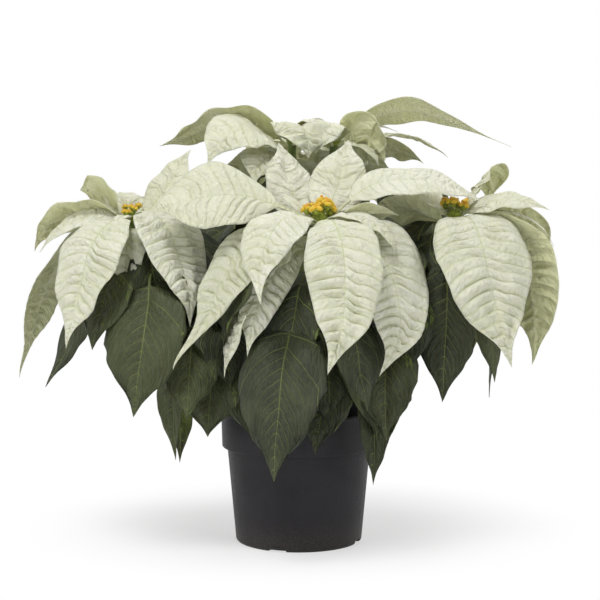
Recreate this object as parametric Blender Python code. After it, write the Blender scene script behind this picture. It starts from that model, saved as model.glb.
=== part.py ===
"""Potted white poinsettia: a moulded nursery pot, its root ball, one branched stem,
five clusters of true flowers, white bracts and green leaves.

Frame: +Z up, the front faces -Y, origin at the middle of the pot's underside.
Lengths in the tables are millimetres; MM turns them into metres when a mesh is made.
Azimuths are degrees from +X towards +Y.
"""
import math
from typing import NamedTuple

import bpy
import numpy as np

MM = 0.001

# ---- clearances and the pot -------------------------------------------------------
GAP = 0.3
POT_RIM_RADIUS = 65.0
POT_HEIGHT = 110.0
POT_BASE_RADIUS = 52.5
POT_FOOT_ROUND = 3.0
POT_WALL = 1.4
COLLAR_BOTTOM = 79.0
BODY_TOP_RADIUS = 59.6
POT_SEGMENTS = 64

DRAIN_DIRECTIONS = (-110.0, -20.0, 70.0, 160.0)
DRAIN_WIDTH = 16.0
DRAIN_HEIGHT = 3.6
DRAIN_DEPTH = 7.0

# ---- root ball --------------------------------------------------------------------
SOIL_TOP = 95.0
SOIL_BUMP = 1.2
SOIL_SEGMENTS = 44
SOCKET_FLOOR = 60.0

# ---- stem -------------------------------------------------------------------------
TRUNK_RADIUS = 5.0
KNUCKLE_RADIUS = 5.8
FORK = (3.0, -4.0, 128.0)
BRANCH_FOOT_RADIUS = 4.2
BRANCH_TIP_RADIUS = 3.2
BRANCH_SIDES = 10
BRANCH_RINGS = 13


class Branch(NamedTuple):
    """One branch: its head, the bend near the fork, its straight neck and the size of its flowers."""
    head: tuple
    bend: tuple
    neck: float
    flowers: float


BRANCHES = {
    "a": Branch((16, -62, 270), (8, -30, 165), 45, 1.0),
    "b": Branch((-136, -22, 270), (-60, -12, 165), 45, 0.8),
    "c": Branch((126, -25, 272), (58, -14, 165), 45, 0.9),
    "d": Branch((-6, 62, 336), (-2, 25, 190), 56, 0.7),
    "e": Branch((30, 68, 334), (20, 25, 190), 56, 0.7),
}

# ---- flower clusters --------------------------------------------------------------
CUP_RING_RADIUS = 6.6
CUP_RADIUS = 3.1
CUP_COUNT = 6
CUP_FLOOR = 3.2
CUP_HEIGHT = 8.6
CUP_SIDES = 7
HUB_SIDES = 12

# ---- leaves -----------------------------------------------------------------------
BLADE_THICKNESS = 0.8
BLADE_ROWS = 9
BLADE_COLUMNS = 5
PETIOLE_HALF_WIDTH = 1.3
TIP_HALF_WIDTH = 0.35


class Leaf(NamedTuple):
    """A bract or leaf: where it leaves its branch, where its tip lies, how it bends.

    drop is how far the tip lies below the seat, rise and fall the slopes of the
    midrib at its two ends, bow its sideways bend, fold the V of its halves, curl the
    droop of its edges, belly where it is widest, sharp how pointed it is.
    """
    branch: str
    azimuth: float
    reach: float
    drop: float
    rise: float
    fall: float
    width: float
    below_head: float = None
    along_branch: float = None
    bow: float = 0.0
    roll: float = 0.0
    fold: float = 12.0
    curl: float = 0.25
    belly: float = 0.38
    sharp: float = 1.15
    petiole: float = 0.07
    arch: float = 0.4


def bract(branch, azimuth, reach, drop, rise, fall, width, below_head, **shape):
    """A white bract, seated a little below the flowers of its head."""
    return Leaf(branch, azimuth, reach, drop, rise, fall, width, below_head, None, **shape)


def green(branch, azimuth, reach, drop, rise, fall, width, along_branch, **shape):
    """A green leaf on a longer stalk, seated part of the way along its branch."""
    blade = {"petiole": 0.28, "fold": 14.0, "curl": 0.3, "belly": 0.36, "sharp": 1.05}
    blade.update(shape)
    return Leaf(branch, azimuth, reach, drop, rise, fall, width, None, along_branch, **blade)


LEAVES = {
    # head a, at the front
    "bract_a1": bract("a", 128, 48, -66, 10, -65, 44, 7, roll=-12, sharp=0.9, petiole=0.2),
    "bract_a2": bract("a", 64, 46, -64, 28, -72, 48, 2, roll=14, sharp=0.8, petiole=0.17),
    "bract_a3": bract("a", 9, 132, -20, 56, 28, 52, 9, roll=26, belly=0.4, petiole=0.2,
                      arch=0.45),
    "bract_a4": bract("a", -25, 61, 28, 38, 88, 26, 3, roll=10),
    "bract_a5": bract("a", -84, 85, 107, 25, 88, 58, 6, bow=15),
    "bract_a6": bract("a", -121, 82, 56, 26, 88, 48, 3, bow=-10, roll=-10),
    "bract_a7": bract("a", -174, 133, 2, 32, 42, 66, 5, roll=-48, sharp=0.9, belly=0.5,
                      petiole=0.22),
    "bract_a8": bract("a", -43, 68, 109, 20, 98, 54, 12, bow=24, roll=25),
    "bract_a9": bract("a", -158, 92, 90, 14, 86, 50, 14, roll=-30, arch=0.45),
    "bract_a10": bract("a", -146, 61, 79, 15, 84, 38, 27, roll=-50),
    # head b, on the left
    "bract_b1": bract("b", 33, 50, -57, 30, -50, 36, 3, roll=25, sharp=1.0, petiole=0.15),
    "bract_b2": bract("b", 158, 45, -30, 44, -4, 44, 6, roll=50, sharp=0.8, petiole=0.22, arch=0.5),
    "bract_b3": bract("b", 168, 80, 22, 50, 75, 44, 8, roll=30),
    "bract_b4": bract("b", -122, 74, 92, 34, 85, 62, 8),
    "bract_b5": bract("b", -43, 70, 78, 40, 82, 58, 3, roll=10),
    "bract_b6": bract("b", 159, 100, 117, 30, 80, 58, 14),
    "bract_b7": bract("b", 22, 74, -28, 28, -5, 32, 13, roll=-25),
    # head c, on the right
    "bract_c1": bract("c", -60, 69, 107, 28, 85, 84, 6, bow=-12, roll=8),
    "bract_c2": bract("c", -18, 71, -6, 38, 25, 38, 2, roll=22),
    "bract_c3": bract("c", 48, 48, -22, 43, 90, 48, 9, roll=-43, sharp=0.7, petiole=0.22, arch=0.73),
    "bract_c4": bract("c", 14, 80, 22, 30, 85, 36, 12, roll=-50, sharp=0.9),
    "bract_c5": bract("c", -10, 60, 98, 26, 105, 66, 17, roll=-60, arch=0.45),
    "bract_c6": bract("c", -170, 68, -12, 28, 15, 48, 9, roll=28, belly=0.5),
    # head d, rear left
    "bract_d1": bract("d", 178, 112, 2, 46, 18, 44, 7, roll=38, arch=0.5),
    "bract_d2": bract("d", -140, 88, 6, 44, 62, 62, 20, roll=-28, arch=0.56),
    "bract_d3": bract("d", -70, 36, 12, 62, 85, 54, 8, arch=0.85),
    "bract_d4": bract("d", 82, 80, 72, 5, 70, 44, 18),
    "bract_d5": bract("d", 110, 85, 66, 30, 75, 54, 7),
    "bract_d6": bract("d", 145, 80, 60, 30, 75, 48, 13),
    # head e, rear right
    "bract_e1": bract("e", 6, 146, -2, 46, 22, 38, 5, roll=-35, belly=0.28, sharp=2.3, arch=0.5),
    "bract_e2": bract("e", -34, 46, 8, 38, 65, 52, 10, roll=-66, sharp=0.75, petiole=0.2, arch=0.55),
    "bract_e3": bract("e", 14, 98, 2, 40, 45, 38, 14),
    "bract_e4": bract("e", 46, 85, 70, 22, 75, 50, 16),
    "bract_e5": bract("e", 80, 80, 60, 30, 75, 54, 6),
    "bract_e6": bract("e", 106, 62, 30, 30, 60, 42, 12),
    # green leaves, from the front left round to the back
    "leaf_01": green("b", -100, 66, 109, 8, 85, 68, 0.71, bow=12),
    "leaf_02": green("a", -108, 85, 119, 15, 85, 72, 0.50, bow=-3),
    "leaf_03": green("b", -130, 36, 106, 10, 88, 34, 0.42, fold=30),
    "leaf_04": green("b", -108, 46, 73, 0, 80, 56, 0.32),
    "leaf_05": green("b", -146, 54, 50, 2, 70, 44, 0.15),
    "leaf_06": green("c", -108, 80, 68, 10, 80, 54, 0.22),
    "leaf_07": green("c", -84, 60, 108, -10, 88, 30, 0.30, fold=30),
    "leaf_08": green("b", -175, 74, 92, 15, 60, 46, 0.75, roll=-30),
    "leaf_09": green("c", -106, 36, 131, 15, 88, 56, 0.88, bow=6),
    "leaf_10": green("c", -104, 34, 97, 5, 85, 28, 0.47, bow=12),
    "leaf_11": green("c", -15, 40, 109, 5, 85, 38, 0.75),
    "leaf_12": green("a", -15, 58, 90, 5, 85, 40, 0.68),
    "leaf_13": green("d", 100, 90, 110, 0, 80, 60, 0.60),
    "leaf_14": green("e", 70, 90, 110, 0, 80, 60, 0.60),
    "leaf_15": green("d", -170, 75, 90, 0, 80, 58, 0.75),
    "leaf_16": green("e", -10, 70, 90, 0, 80, 58, 0.75),
}

# ---- colours (linear), roughness --------------------------------------------------
POT_LOOK = ((0.032, 0.030, 0.034), 0.42)
SOIL_LOOK = ((0.045, 0.028, 0.018), 0.95)
STEM_LOOK = ((0.16, 0.24, 0.07), 0.55)
FLOWER_LOOK = ((0.80, 0.42, 0.03), 0.5)
BRACT_LOOK = ((0.76, 0.77, 0.62), 0.6)
LEAF_LOOK = ((0.055, 0.085, 0.045), 0.5)


# ---- helpers ----------------------------------------------------------------------
def clear_scene():
    """Remove every object of the opened file."""
    for obj in list(bpy.data.objects):
        bpy.data.objects.remove(obj, do_unlink=True)


def material(name, look):
    """A Principled material with the part's colour and roughness."""
    colour, roughness = look
    mat = bpy.data.materials.new(name)
    mat.use_nodes = True
    shader = mat.node_tree.nodes["Principled BSDF"]
    shader.inputs["Base Color"].default_value = (*colour, 1.0)
    shader.inputs["Roughness"].default_value = roughness
    shader.inputs["Metallic"].default_value = 0.0
    return mat


def add_object(name, vertices_mm, faces, look, smooth_degrees=35.0):
    """Make one object from vertices in millimetres and give it its own material."""
    mesh = bpy.data.meshes.new(name)
    mesh.from_pydata((np.asarray(vertices_mm) * MM).tolist(), [], [list(f) for f in faces])
    mesh.shade_smooth()
    mesh.set_sharp_from_angle(angle=math.radians(smooth_degrees))
    mesh.materials.append(material(name, look))
    obj = bpy.data.objects.new(name, mesh)
    bpy.context.scene.collection.objects.link(obj)
    return obj


def add_operand(name, vertices_mm, faces):
    """A hidden body that a Boolean cuts with or joins on."""
    obj = add_object(name, vertices_mm, faces, STEM_LOOK)
    obj.hide_render = True
    obj.display_type = "WIRE"
    return obj


def apply_boolean(obj, operation, operand):
    """Add a live exact Boolean to obj."""
    boolean = obj.modifiers.new(operand.name, "BOOLEAN")
    boolean.operation = operation
    boolean.solver = "EXACT"
    boolean.object = operand


def unit(vectors):
    """Scale vectors to length one."""
    return vectors / np.linalg.norm(vectors, axis=-1, keepdims=True)


def heading(azimuth):
    """The level direction at an azimuth in degrees."""
    angle = math.radians(azimuth)
    return np.array([math.cos(angle), math.sin(angle), 0.0])


def arc(centre_r, centre_z, radius, start, end, steps):
    """Points (r, z) on a circular arc, angles in degrees from +r towards +z."""
    angles = np.radians(np.linspace(start, end, steps))
    return [(centre_r + radius * math.cos(a), centre_z + radius * math.sin(a)) for a in angles]


def turned(profile, segments, centre=(0.0, 0.0, 0.0)):
    """Turn a profile of (r, z) points about Z; it runs from axis to axis, outside first
    from the bottom up, and its two ends have r = 0."""
    rings = profile[1:-1]
    turn = np.linspace(0.0, 2.0 * math.pi, segments, endpoint=False)
    vertices = [(0.0, 0.0, profile[0][1])]
    for radius, height in rings:
        vertices += [(radius * math.cos(a), radius * math.sin(a), height) for a in turn]
    vertices.append((0.0, 0.0, profile[-1][1]))
    last = len(vertices) - 1
    faces = []
    for j in range(segments):
        k = (j + 1) % segments
        faces.append((0, 1 + k, 1 + j))
        top = 1 + (len(rings) - 1) * segments
        faces.append((top + j, top + k, last))
        for i in range(len(rings) - 1):
            low = 1 + i * segments
            faces.append((low + j, low + k, low + segments + k, low + segments + j))
    return np.array(vertices) + np.array(centre), faces


def tube(points, tangents, radii, sides):
    """A closed tube through points, its rings square to the given tangents."""
    tangents = unit(np.asarray(tangents))
    turn = np.linspace(0.0, 2.0 * math.pi, sides, endpoint=False)
    across = unit(np.cross(tangents, np.array([0.35, 1.0, 0.0])))
    up = np.cross(tangents, across)
    vertices = []
    for point, a, b, radius in zip(points, across, up, radii):
        vertices += [point + radius * (a * math.cos(t) + b * math.sin(t)) for t in turn]
    rings = len(points)
    faces = [tuple(reversed(range(sides)))]
    faces.append(tuple((rings - 1) * sides + j for j in range(sides)))
    for i in range(rings - 1):
        for j in range(sides):
            k = (j + 1) % sides
            low = i * sides
            faces.append((low + j, low + k, low + sides + k, low + sides + j))
    return np.array(vertices), faces


# ---- pot and root ball ------------------------------------------------------------
def wall_radius(height):
    """Outer radius of the tapered body below the collar."""
    start = POT_FOOT_ROUND
    share = (height - start) / (COLLAR_BOTTOM - start)
    return POT_BASE_RADIUS + (BODY_TOP_RADIUS - POT_BASE_RADIUS) * share


def inner_radius(height):
    """Inner radius of the pot: it steps out at the collar."""
    if height < COLLAR_BOTTOM + 3.0:
        return wall_radius(max(height, POT_FOOT_ROUND)) - POT_WALL
    return POT_RIM_RADIUS - 3.0


def build_pot():
    """Turned body with a rounded foot, a collar and a rolled rim, and four drain slots."""
    foot = arc(POT_BASE_RADIUS - POT_FOOT_ROUND, POT_FOOT_ROUND, POT_FOOT_ROUND, -90, 0, 4)
    rim_round = 1.4
    rim_top = POT_HEIGHT - rim_round
    collar_inner = inner_radius(POT_HEIGHT)
    profile = [(0.0, 0.0)] + foot
    profile += [
        (BODY_TOP_RADIUS, COLLAR_BOTTOM),
        (POT_RIM_RADIUS - 2.2, COLLAR_BOTTOM + 0.6),
        (POT_RIM_RADIUS - 1.4, COLLAR_BOTTOM + 2.0),
        (POT_RIM_RADIUS - 0.4, rim_top - 4.0),
    ]
    profile += arc(POT_RIM_RADIUS - rim_round, rim_top, rim_round, 0, 150, 4)
    profile += [
        (collar_inner, rim_top - 2.0),
        (collar_inner - 0.6, COLLAR_BOTTOM + 4.5),
        (inner_radius(COLLAR_BOTTOM), COLLAR_BOTTOM + 2.0),
        (inner_radius(4.5), 4.5),
        (inner_radius(4.5) - 2.6, 1.8),
        (0.0, 1.8),
    ]
    pot = add_object("pot", *turned(profile, POT_SEGMENTS), POT_LOOK)
    apply_boolean(pot, "DIFFERENCE", build_drain_cutter())
    return pot


def build_drain_cutter():
    """Four short blocks with rounded tops, one at each drain slot, in one cutter."""
    round_top = 2.0
    half = DRAIN_WIDTH / 2.0
    outline = [(-half, -2.0), (half, -2.0)]
    outline += arc(half - round_top, DRAIN_HEIGHT - round_top, round_top, 0, 90, 4)
    outline += arc(round_top - half, DRAIN_HEIGHT - round_top, round_top, 90, 180, 4)
    count = len(outline)
    vertices = []
    faces = []
    for direction in DRAIN_DIRECTIONS:
        out = heading(direction)
        side = np.array([-out[1], out[0], 0.0])
        start = len(vertices)
        for radius in (POT_BASE_RADIUS - DRAIN_DEPTH, POT_BASE_RADIUS + 4.0):
            vertices += [out * radius + side * x + np.array([0.0, 0.0, z]) for x, z in outline]
        faces.append(tuple(start + j for j in reversed(range(count))))
        faces.append(tuple(start + count + j for j in range(count)))
        for j in range(count):
            k = (j + 1) % count
            faces.append((start + j, start + k, start + count + k, start + count + j))
    return add_operand("drain_cutter", vertices, faces)


def build_soil():
    """The root ball: it fills the pot, is a little uneven on top and has the stem's socket."""
    socket = TRUNK_RADIUS + GAP
    floor = 1.8 + GAP
    edge = inner_radius(COLLAR_BOTTOM) - GAP
    shoulder = POT_RIM_RADIUS - 3.6 - GAP
    profile = [
        (0.0, floor),
        (inner_radius(5.0) - 3.2, floor),
        (inner_radius(5.0) - GAP, 5.2),
        (edge - 0.1, COLLAR_BOTTOM + 1.8),
        (shoulder - 0.6, COLLAR_BOTTOM + 5.4),
        (shoulder - 0.4, SOIL_TOP - 2.0),
        (46.0, SOIL_TOP),
        (28.0, SOIL_TOP - 0.5),
        (socket + 3.0, SOIL_TOP + 0.8),
        (socket, SOIL_TOP),
        (socket, SOCKET_FLOOR - GAP),
        (0.0, SOCKET_FLOOR - GAP),
    ]
    vertices, faces = turned(profile, SOIL_SEGMENTS)
    radius = np.hypot(vertices[:, 0], vertices[:, 1])
    on_top = (vertices[:, 2] > SOIL_TOP - 3.0) & (radius > socket + 1.0)
    x, y = vertices[:, 0], vertices[:, 1]
    bumps = SOIL_BUMP * (np.sin(0.21 * x + 0.5) * np.cos(0.17 * y) + 0.4 * np.sin(0.4 * (x - y)))
    vertices[:, 2] += np.where(on_top, bumps, 0.0)
    return add_object("soil", vertices, faces, SOIL_LOOK, smooth_degrees=50.0)


# ---- stem -------------------------------------------------------------------------
def branch_point(name, share):
    """Point, tangent and radius of a branch at a share (0 fork, 1 head) of its curve.

    The curve is the cubic with ends FORK and head and handles at the bend and straight
    below the head: P = q^3 F + 3 q^2 s B + 3 q s^2 N + s^3 H, with q = 1 - s.
    """
    branch = BRANCHES[name]
    fork, bend, head = (np.array(p, dtype=float) for p in (FORK, branch.bend, branch.head))
    below = head - np.array([0.0, 0.0, branch.neck])
    q = 1.0 - share
    point = q**3 * fork + 3 * q * q * share * bend + 3 * q * share**2 * below + share**3 * head
    tangent = q * q * (bend - fork) + 2 * q * share * (below - bend) + share**2 * (head - below)
    radius = BRANCH_FOOT_RADIUS + (BRANCH_TIP_RADIUS - BRANCH_FOOT_RADIUS) * share
    return point, unit(tangent), radius


def build_stem():
    """The trunk from its socket to the fork, with the five branches joined on."""
    fork = np.array(FORK, dtype=float)
    heights = [SOCKET_FLOOR, SOIL_TOP + 2.0, 112.0, fork[2] - 5.0, fork[2] - 1.0]
    heights += [fork[2] + 3.0, fork[2] + 5.2]
    radii = [TRUNK_RADIUS] * 3 + [KNUCKLE_RADIUS - 0.5, KNUCKLE_RADIUS, KNUCKLE_RADIUS - 1.0, 2.2]
    lean = [min(1.0, max(0.0, (z - SOIL_TOP - 2.0) / (fork[2] - SOIL_TOP - 7.0))) for z in heights]
    points = [np.array([fork[0] * s, fork[1] * s, z]) for s, z in zip(lean, heights)]
    stem = add_object("stem", *tube(points, [(0.0, 0.0, 1.0)] * len(points), radii, 12), STEM_LOOK)
    for name in BRANCHES:
        samples = [branch_point(name, s) for s in np.linspace(0.0, 1.0, BRANCH_RINGS)]
        points, tangents, radii = zip(*samples)
        operand = add_operand("branch_" + name, *tube(points, tangents, radii, BRANCH_SIDES))
        apply_boolean(stem, "UNION", operand)
    return stem


# ---- flowers ----------------------------------------------------------------------
def cup_profile(floor, radius, height):
    """A small barrel-shaped flower cup, closed at both ends."""
    return [
        (0.0, floor),
        (0.70 * radius, floor + 0.08 * height),
        (radius, floor + 0.5 * height),
        (0.65 * radius, floor + 0.95 * height),
        (0.0, floor + height),
    ]


def build_cyathia(name, head, size):
    """A hub on the end of the branch, with a ring of cups and one in the middle."""
    base = np.array(head, dtype=float)
    hub_profile = [(0.0, GAP), (2.8, GAP), (3.4, 2.2), (7.4, 4.6), (6.4, 6.4), (0.0, 6.8)]
    hub_profile = [(radius * size, max(GAP, height * size)) for radius, height in hub_profile]
    hub = add_object("cyathia_" + name, *turned(hub_profile, HUB_SIDES, base), FLOWER_LOOK, 60.0)
    vertices = []
    faces = []
    places = [base + np.array([0.0, 0.0, 1.6 * size])]
    for i in range(CUP_COUNT):
        places.append(base + CUP_RING_RADIUS * size * heading(360.0 * i / CUP_COUNT + 15.0))
    for place in places:
        profile = cup_profile(CUP_FLOOR * size, CUP_RADIUS * size, CUP_HEIGHT * size)
        cup_vertices, cup_faces = turned(profile, CUP_SIDES, place)
        faces += [tuple(len(vertices) + index for index in face) for face in cup_faces]
        vertices += list(cup_vertices)
    apply_boolean(hub, "UNION", add_operand("cups_" + name, vertices, faces))
    return hub


# ---- leaves -----------------------------------------------------------------------
def end_reach(leaf, out):
    """How far the tilted foot of a stalk reaches back against the direction out."""
    rise = math.radians(leaf.rise)
    roll = math.radians(leaf.roll)
    level = heading(leaf.azimuth)
    side = np.array([-level[1], level[0], 0.0])
    along = level * math.cos(rise) + np.array([0.0, 0.0, math.sin(rise)])
    normal = np.cross(along, side)
    across = side * math.cos(roll) + normal * math.sin(roll)
    through = normal * math.cos(roll) - side * math.sin(roll)
    reach = PETIOLE_HALF_WIDTH * abs(np.dot(across, out))
    return reach + BLADE_THICKNESS / 2.0 * abs(np.dot(through, out))


def seat_of(leaf):
    """Where a leaf's stalk starts: on the skin of its branch, GAP away from it."""
    share = leaf.along_branch
    if share is None:
        height = BRANCHES[leaf.branch].head[2] - leaf.below_head
        shares = np.linspace(0.0, 1.0, 400)
        heights = np.array([branch_point(leaf.branch, s)[0][2] for s in shares])
        share = float(shares[np.argmin(np.abs(heights - height))])
    point, tangent, radius = branch_point(leaf.branch, share)
    out = heading(leaf.azimuth)
    out = unit(out - np.dot(out, tangent) * tangent)
    return point + out * (radius + GAP + end_reach(leaf, out))


def midrib(leaf, shares):
    """Points and tangents at equal steps along the midrib.

    It is a cubic in the upright plane of the leaf's azimuth; both handles are arch
    times the chord long, at the slopes rise and fall, and bow bends them sideways.
    """
    seat = seat_of(leaf)
    out = heading(leaf.azimuth)
    side = np.array([-out[1], out[0], 0.0])
    up = np.array([0.0, 0.0, 1.0])
    tip = seat + leaf.reach * out - leaf.drop * up
    handle = leaf.arch * np.linalg.norm(tip - seat)
    rise, fall = math.radians(leaf.rise), math.radians(leaf.fall)
    first = seat + handle * (out * math.cos(rise) + up * math.sin(rise)) + side * leaf.bow
    second = tip - handle * (out * math.cos(fall) - up * math.sin(fall)) + side * leaf.bow

    def cubic(s):
        s = s[:, None]
        q = 1.0 - s
        points = q**3 * seat + 3 * q * q * s * first + 3 * q * s * s * second + s**3 * tip
        slopes = q * q * (first - seat) + 2 * q * s * (second - first) + s * s * (tip - second)
        return points, unit(slopes)

    fine = np.linspace(0.0, 1.0, 200)
    steps = np.linalg.norm(np.diff(cubic(fine)[0], axis=0), axis=1)
    length = np.concatenate([[0.0], np.cumsum(steps)])
    points, tangents = cubic(np.interp(shares * length[-1], length, fine))
    return points, tangents, side


def half_width(leaf, shares):
    """Half the blade's width: q^a (1 - q)^b, scaled to 1 at q = belly, after the stalk."""
    q = np.clip((shares - leaf.petiole) / (1.0 - leaf.petiole), 0.0, 1.0)
    b = leaf.sharp
    a = b * leaf.belly / (1.0 - leaf.belly)
    peak = leaf.belly**a * (1.0 - leaf.belly) ** b
    blade = leaf.width / 2.0 * q**a * (1.0 - q) ** b / peak
    stalk = np.interp(shares, [0.0, leaf.petiole, 1.0], [PETIOLE_HALF_WIDTH, 1.0, TIP_HALF_WIDTH])
    return np.maximum(blade, stalk)


def blade_surface(leaf, rows, columns):
    """Grid of points on the middle surface of a leaf, shape (rows, columns, 3)."""
    shares = np.linspace(0.0, 1.0, rows)
    points, tangents, side = midrib(leaf, shares)
    across = unit(side - (tangents @ side)[:, None] * tangents)
    normal = np.cross(tangents, across)
    roll = math.radians(leaf.roll)
    rolled = across * math.cos(roll) + normal * math.sin(roll)
    normal = normal * math.cos(roll) - across * math.sin(roll)
    t = np.linspace(-1.0, 1.0, columns)[None, :]
    width = half_width(leaf, shares)[:, None]
    fold = math.radians(leaf.fold)
    x = width * t * math.cos(fold)
    z = width * (np.abs(t) * math.sin(fold) - leaf.curl * t * t)
    return points[:, None] + rolled[:, None] * x[..., None] + normal[:, None] * z[..., None]


def build_leaf(name, leaf):
    """A blade and its stalk in one sheet, thickened by a Solidify modifier."""
    grid = blade_surface(leaf, BLADE_ROWS, BLADE_COLUMNS)
    index = np.arange(BLADE_ROWS * BLADE_COLUMNS).reshape(BLADE_ROWS, BLADE_COLUMNS)
    corners = (index[:-1, :-1], index[1:, :-1], index[1:, 1:], index[:-1, 1:])
    faces = np.stack([c.ravel() for c in corners], axis=1)
    look = BRACT_LOOK if name.startswith("bract") else LEAF_LOOK
    obj = add_object(name, grid.reshape(-1, 3), faces, look, smooth_degrees=60.0)
    solid = obj.modifiers.new("thickness", "SOLIDIFY")
    solid.thickness = BLADE_THICKNESS * MM
    solid.offset = 0.0
    return obj


def main():
    """Build the whole plant in its pot."""
    clear_scene()
    build_pot()
    build_soil()
    build_stem()
    for name, branch in BRANCHES.items():
        build_cyathia(name, branch.head, branch.flowers)
    for name, leaf in LEAVES.items():
        build_leaf(name, leaf)


if __name__ == "__main__":
    main()
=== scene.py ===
"""Looks of the potted white poinsettia: bracts, leaves, flowers, stem, peat and pot,
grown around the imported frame, with a plain pale studio.

Tables and formulas are in millimetres; MM turns them into metres when a mesh is made.
"""
import math
from typing import NamedTuple

import bpy
import numpy as np
from mathutils import Matrix, Vector


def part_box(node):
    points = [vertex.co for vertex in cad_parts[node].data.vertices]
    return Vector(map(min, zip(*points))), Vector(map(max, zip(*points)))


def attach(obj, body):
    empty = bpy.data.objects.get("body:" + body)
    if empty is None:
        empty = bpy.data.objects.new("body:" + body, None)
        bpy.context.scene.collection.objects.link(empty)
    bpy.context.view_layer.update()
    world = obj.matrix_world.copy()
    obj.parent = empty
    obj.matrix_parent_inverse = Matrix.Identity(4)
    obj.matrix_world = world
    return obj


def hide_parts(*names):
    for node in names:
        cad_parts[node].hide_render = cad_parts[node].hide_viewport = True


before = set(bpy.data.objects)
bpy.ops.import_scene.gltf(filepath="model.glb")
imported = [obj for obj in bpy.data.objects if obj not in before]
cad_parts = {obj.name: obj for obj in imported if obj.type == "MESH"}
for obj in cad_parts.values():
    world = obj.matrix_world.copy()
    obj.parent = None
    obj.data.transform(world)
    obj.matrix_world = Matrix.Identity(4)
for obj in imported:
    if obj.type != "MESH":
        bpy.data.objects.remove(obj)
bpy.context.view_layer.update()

bl_info = {
    "name": "Potted white poinsettia",
    "version": (1, 0, 0),
    "blender": (4, 5, 0),
    "location": "3D View > Sidebar > Poinsettia",
    "description": "Grows the bracts, leaves and flowers of a potted poinsettia around its frame",
    "category": "Object",
}

MM = 0.001
UP = np.array([0.0, 0.0, 1.0])
TURN = 2.0 * math.pi

# ---- sizes that the solids have ----
SEAT_GAP = 0.3        # between a branch and the foot of what is seated on it
CAD_BLADE = 0.8       # thickness of a blade
CAD_STALK = 2.6       # width of a blade's stalk
CRUMB_HEIGHT = 1.2    # how far the crumbs stand above the level of the peat
POT_LOW, POT_HIGH = (np.array(corner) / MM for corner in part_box("pot"))
POT_RIM_RADIUS = (POT_HIGH[0] - POT_LOW[0]) / 2.0
POT_HEIGHT = POT_HIGH[2]
PEAT_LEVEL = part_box("soil")[1][2] / MM - CRUMB_HEIGHT
STEM_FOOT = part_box("stem")[0][2] / MM


def head_from_frame(name):
    """The end of a branch, just below the middle of its flower cluster's foot."""
    low, high = (np.array(corner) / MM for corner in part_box("cyathia_" + name))
    return np.array([(low[0] + high[0]) / 2.0, (low[1] + high[1]) / 2.0, low[2] - SEAT_GAP])


# ---- branches: a front, b left, c right, d rear left, e rear right ----
FORK = np.array([3.0, -4.0, 128.0])
TRUNK_RADIUS = 5.0
BRANCH_FOOT_RADIUS = 4.2
BRANCH_TIP_RADIUS = 3.2
# where a branch bends, how far below its head it turns upright, and the size of its flowers
BENDS = {"a": (8, -30, 165), "b": (-60, -12, 165), "c": (58, -14, 165),
         "d": (-2, 25, 190), "e": (20, 25, 190)}
NECKS = {"a": 45, "b": 45, "c": 45, "d": 56, "e": 56}
FLOWER_SCALE = {"a": 1.05, "b": 0.62, "c": 0.95, "d": 0.65, "e": 0.65}
HEADS = {name: head_from_frame(name) for name in BENDS}


# ---- leaves ----
class Leaf(NamedTuple):
    """A bract or leaf: where it leaves its branch, where its tip lies, how it bends.

    Lengths are in millimetres and angles in degrees. drop is how far the tip lies below
    the seat, rise and fall the slopes of the midrib at its two ends, bow its sideways
    bend, fold the V of its halves, curl the droop of its edges, belly where it is widest,
    sharp how pointed it is. tip is how far the last quarter is bent away along X, Y and
    Z, and age, 0 to 1, how far the colour has turned from fresh to mature. Where a
    bract's age is given, it is also painted light and shade: a low value paints a blade
    that lies in shade lighter, and a high one paints a brightly lit blade darker. Where
    these two are left out, they are random.
    """
    branch: str
    azimuth: float
    reach: float
    drop: float
    rise: float
    fall: float
    width: float
    below_head: float = None
    along_branch: float = None
    bow: float = 0.0
    roll: float = 0.0
    fold: float = 12.0
    curl: float = 0.25
    belly: float = 0.38
    sharp: float = 1.15
    petiole: float = 0.07
    arch: float = 0.4
    tip: tuple = None
    age: float = None


def bract(branch, azimuth, reach, drop, rise, fall, width, below_head, **shape):
    """A white bract, seated a little below the flowers of its head."""
    return Leaf(branch, azimuth, reach, drop, rise, fall, width, below_head, None, **shape)


def green(branch, azimuth, reach, drop, rise, fall, width, along_branch, **shape):
    """A green leaf on a longer stalk, seated part of the way along its branch."""
    blade = {"petiole": 0.28, "fold": 14.0, "curl": 0.3, "belly": 0.36, "sharp": 1.05}
    blade.update(shape)
    return Leaf(branch, azimuth, reach, drop, rise, fall, width, None, along_branch, **blade)


def numbered(form, leaves):
    """Name leaves in their order, counted from 1."""
    return {form.format(count): leaf for count, leaf in enumerate(leaves, 1)}
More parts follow.
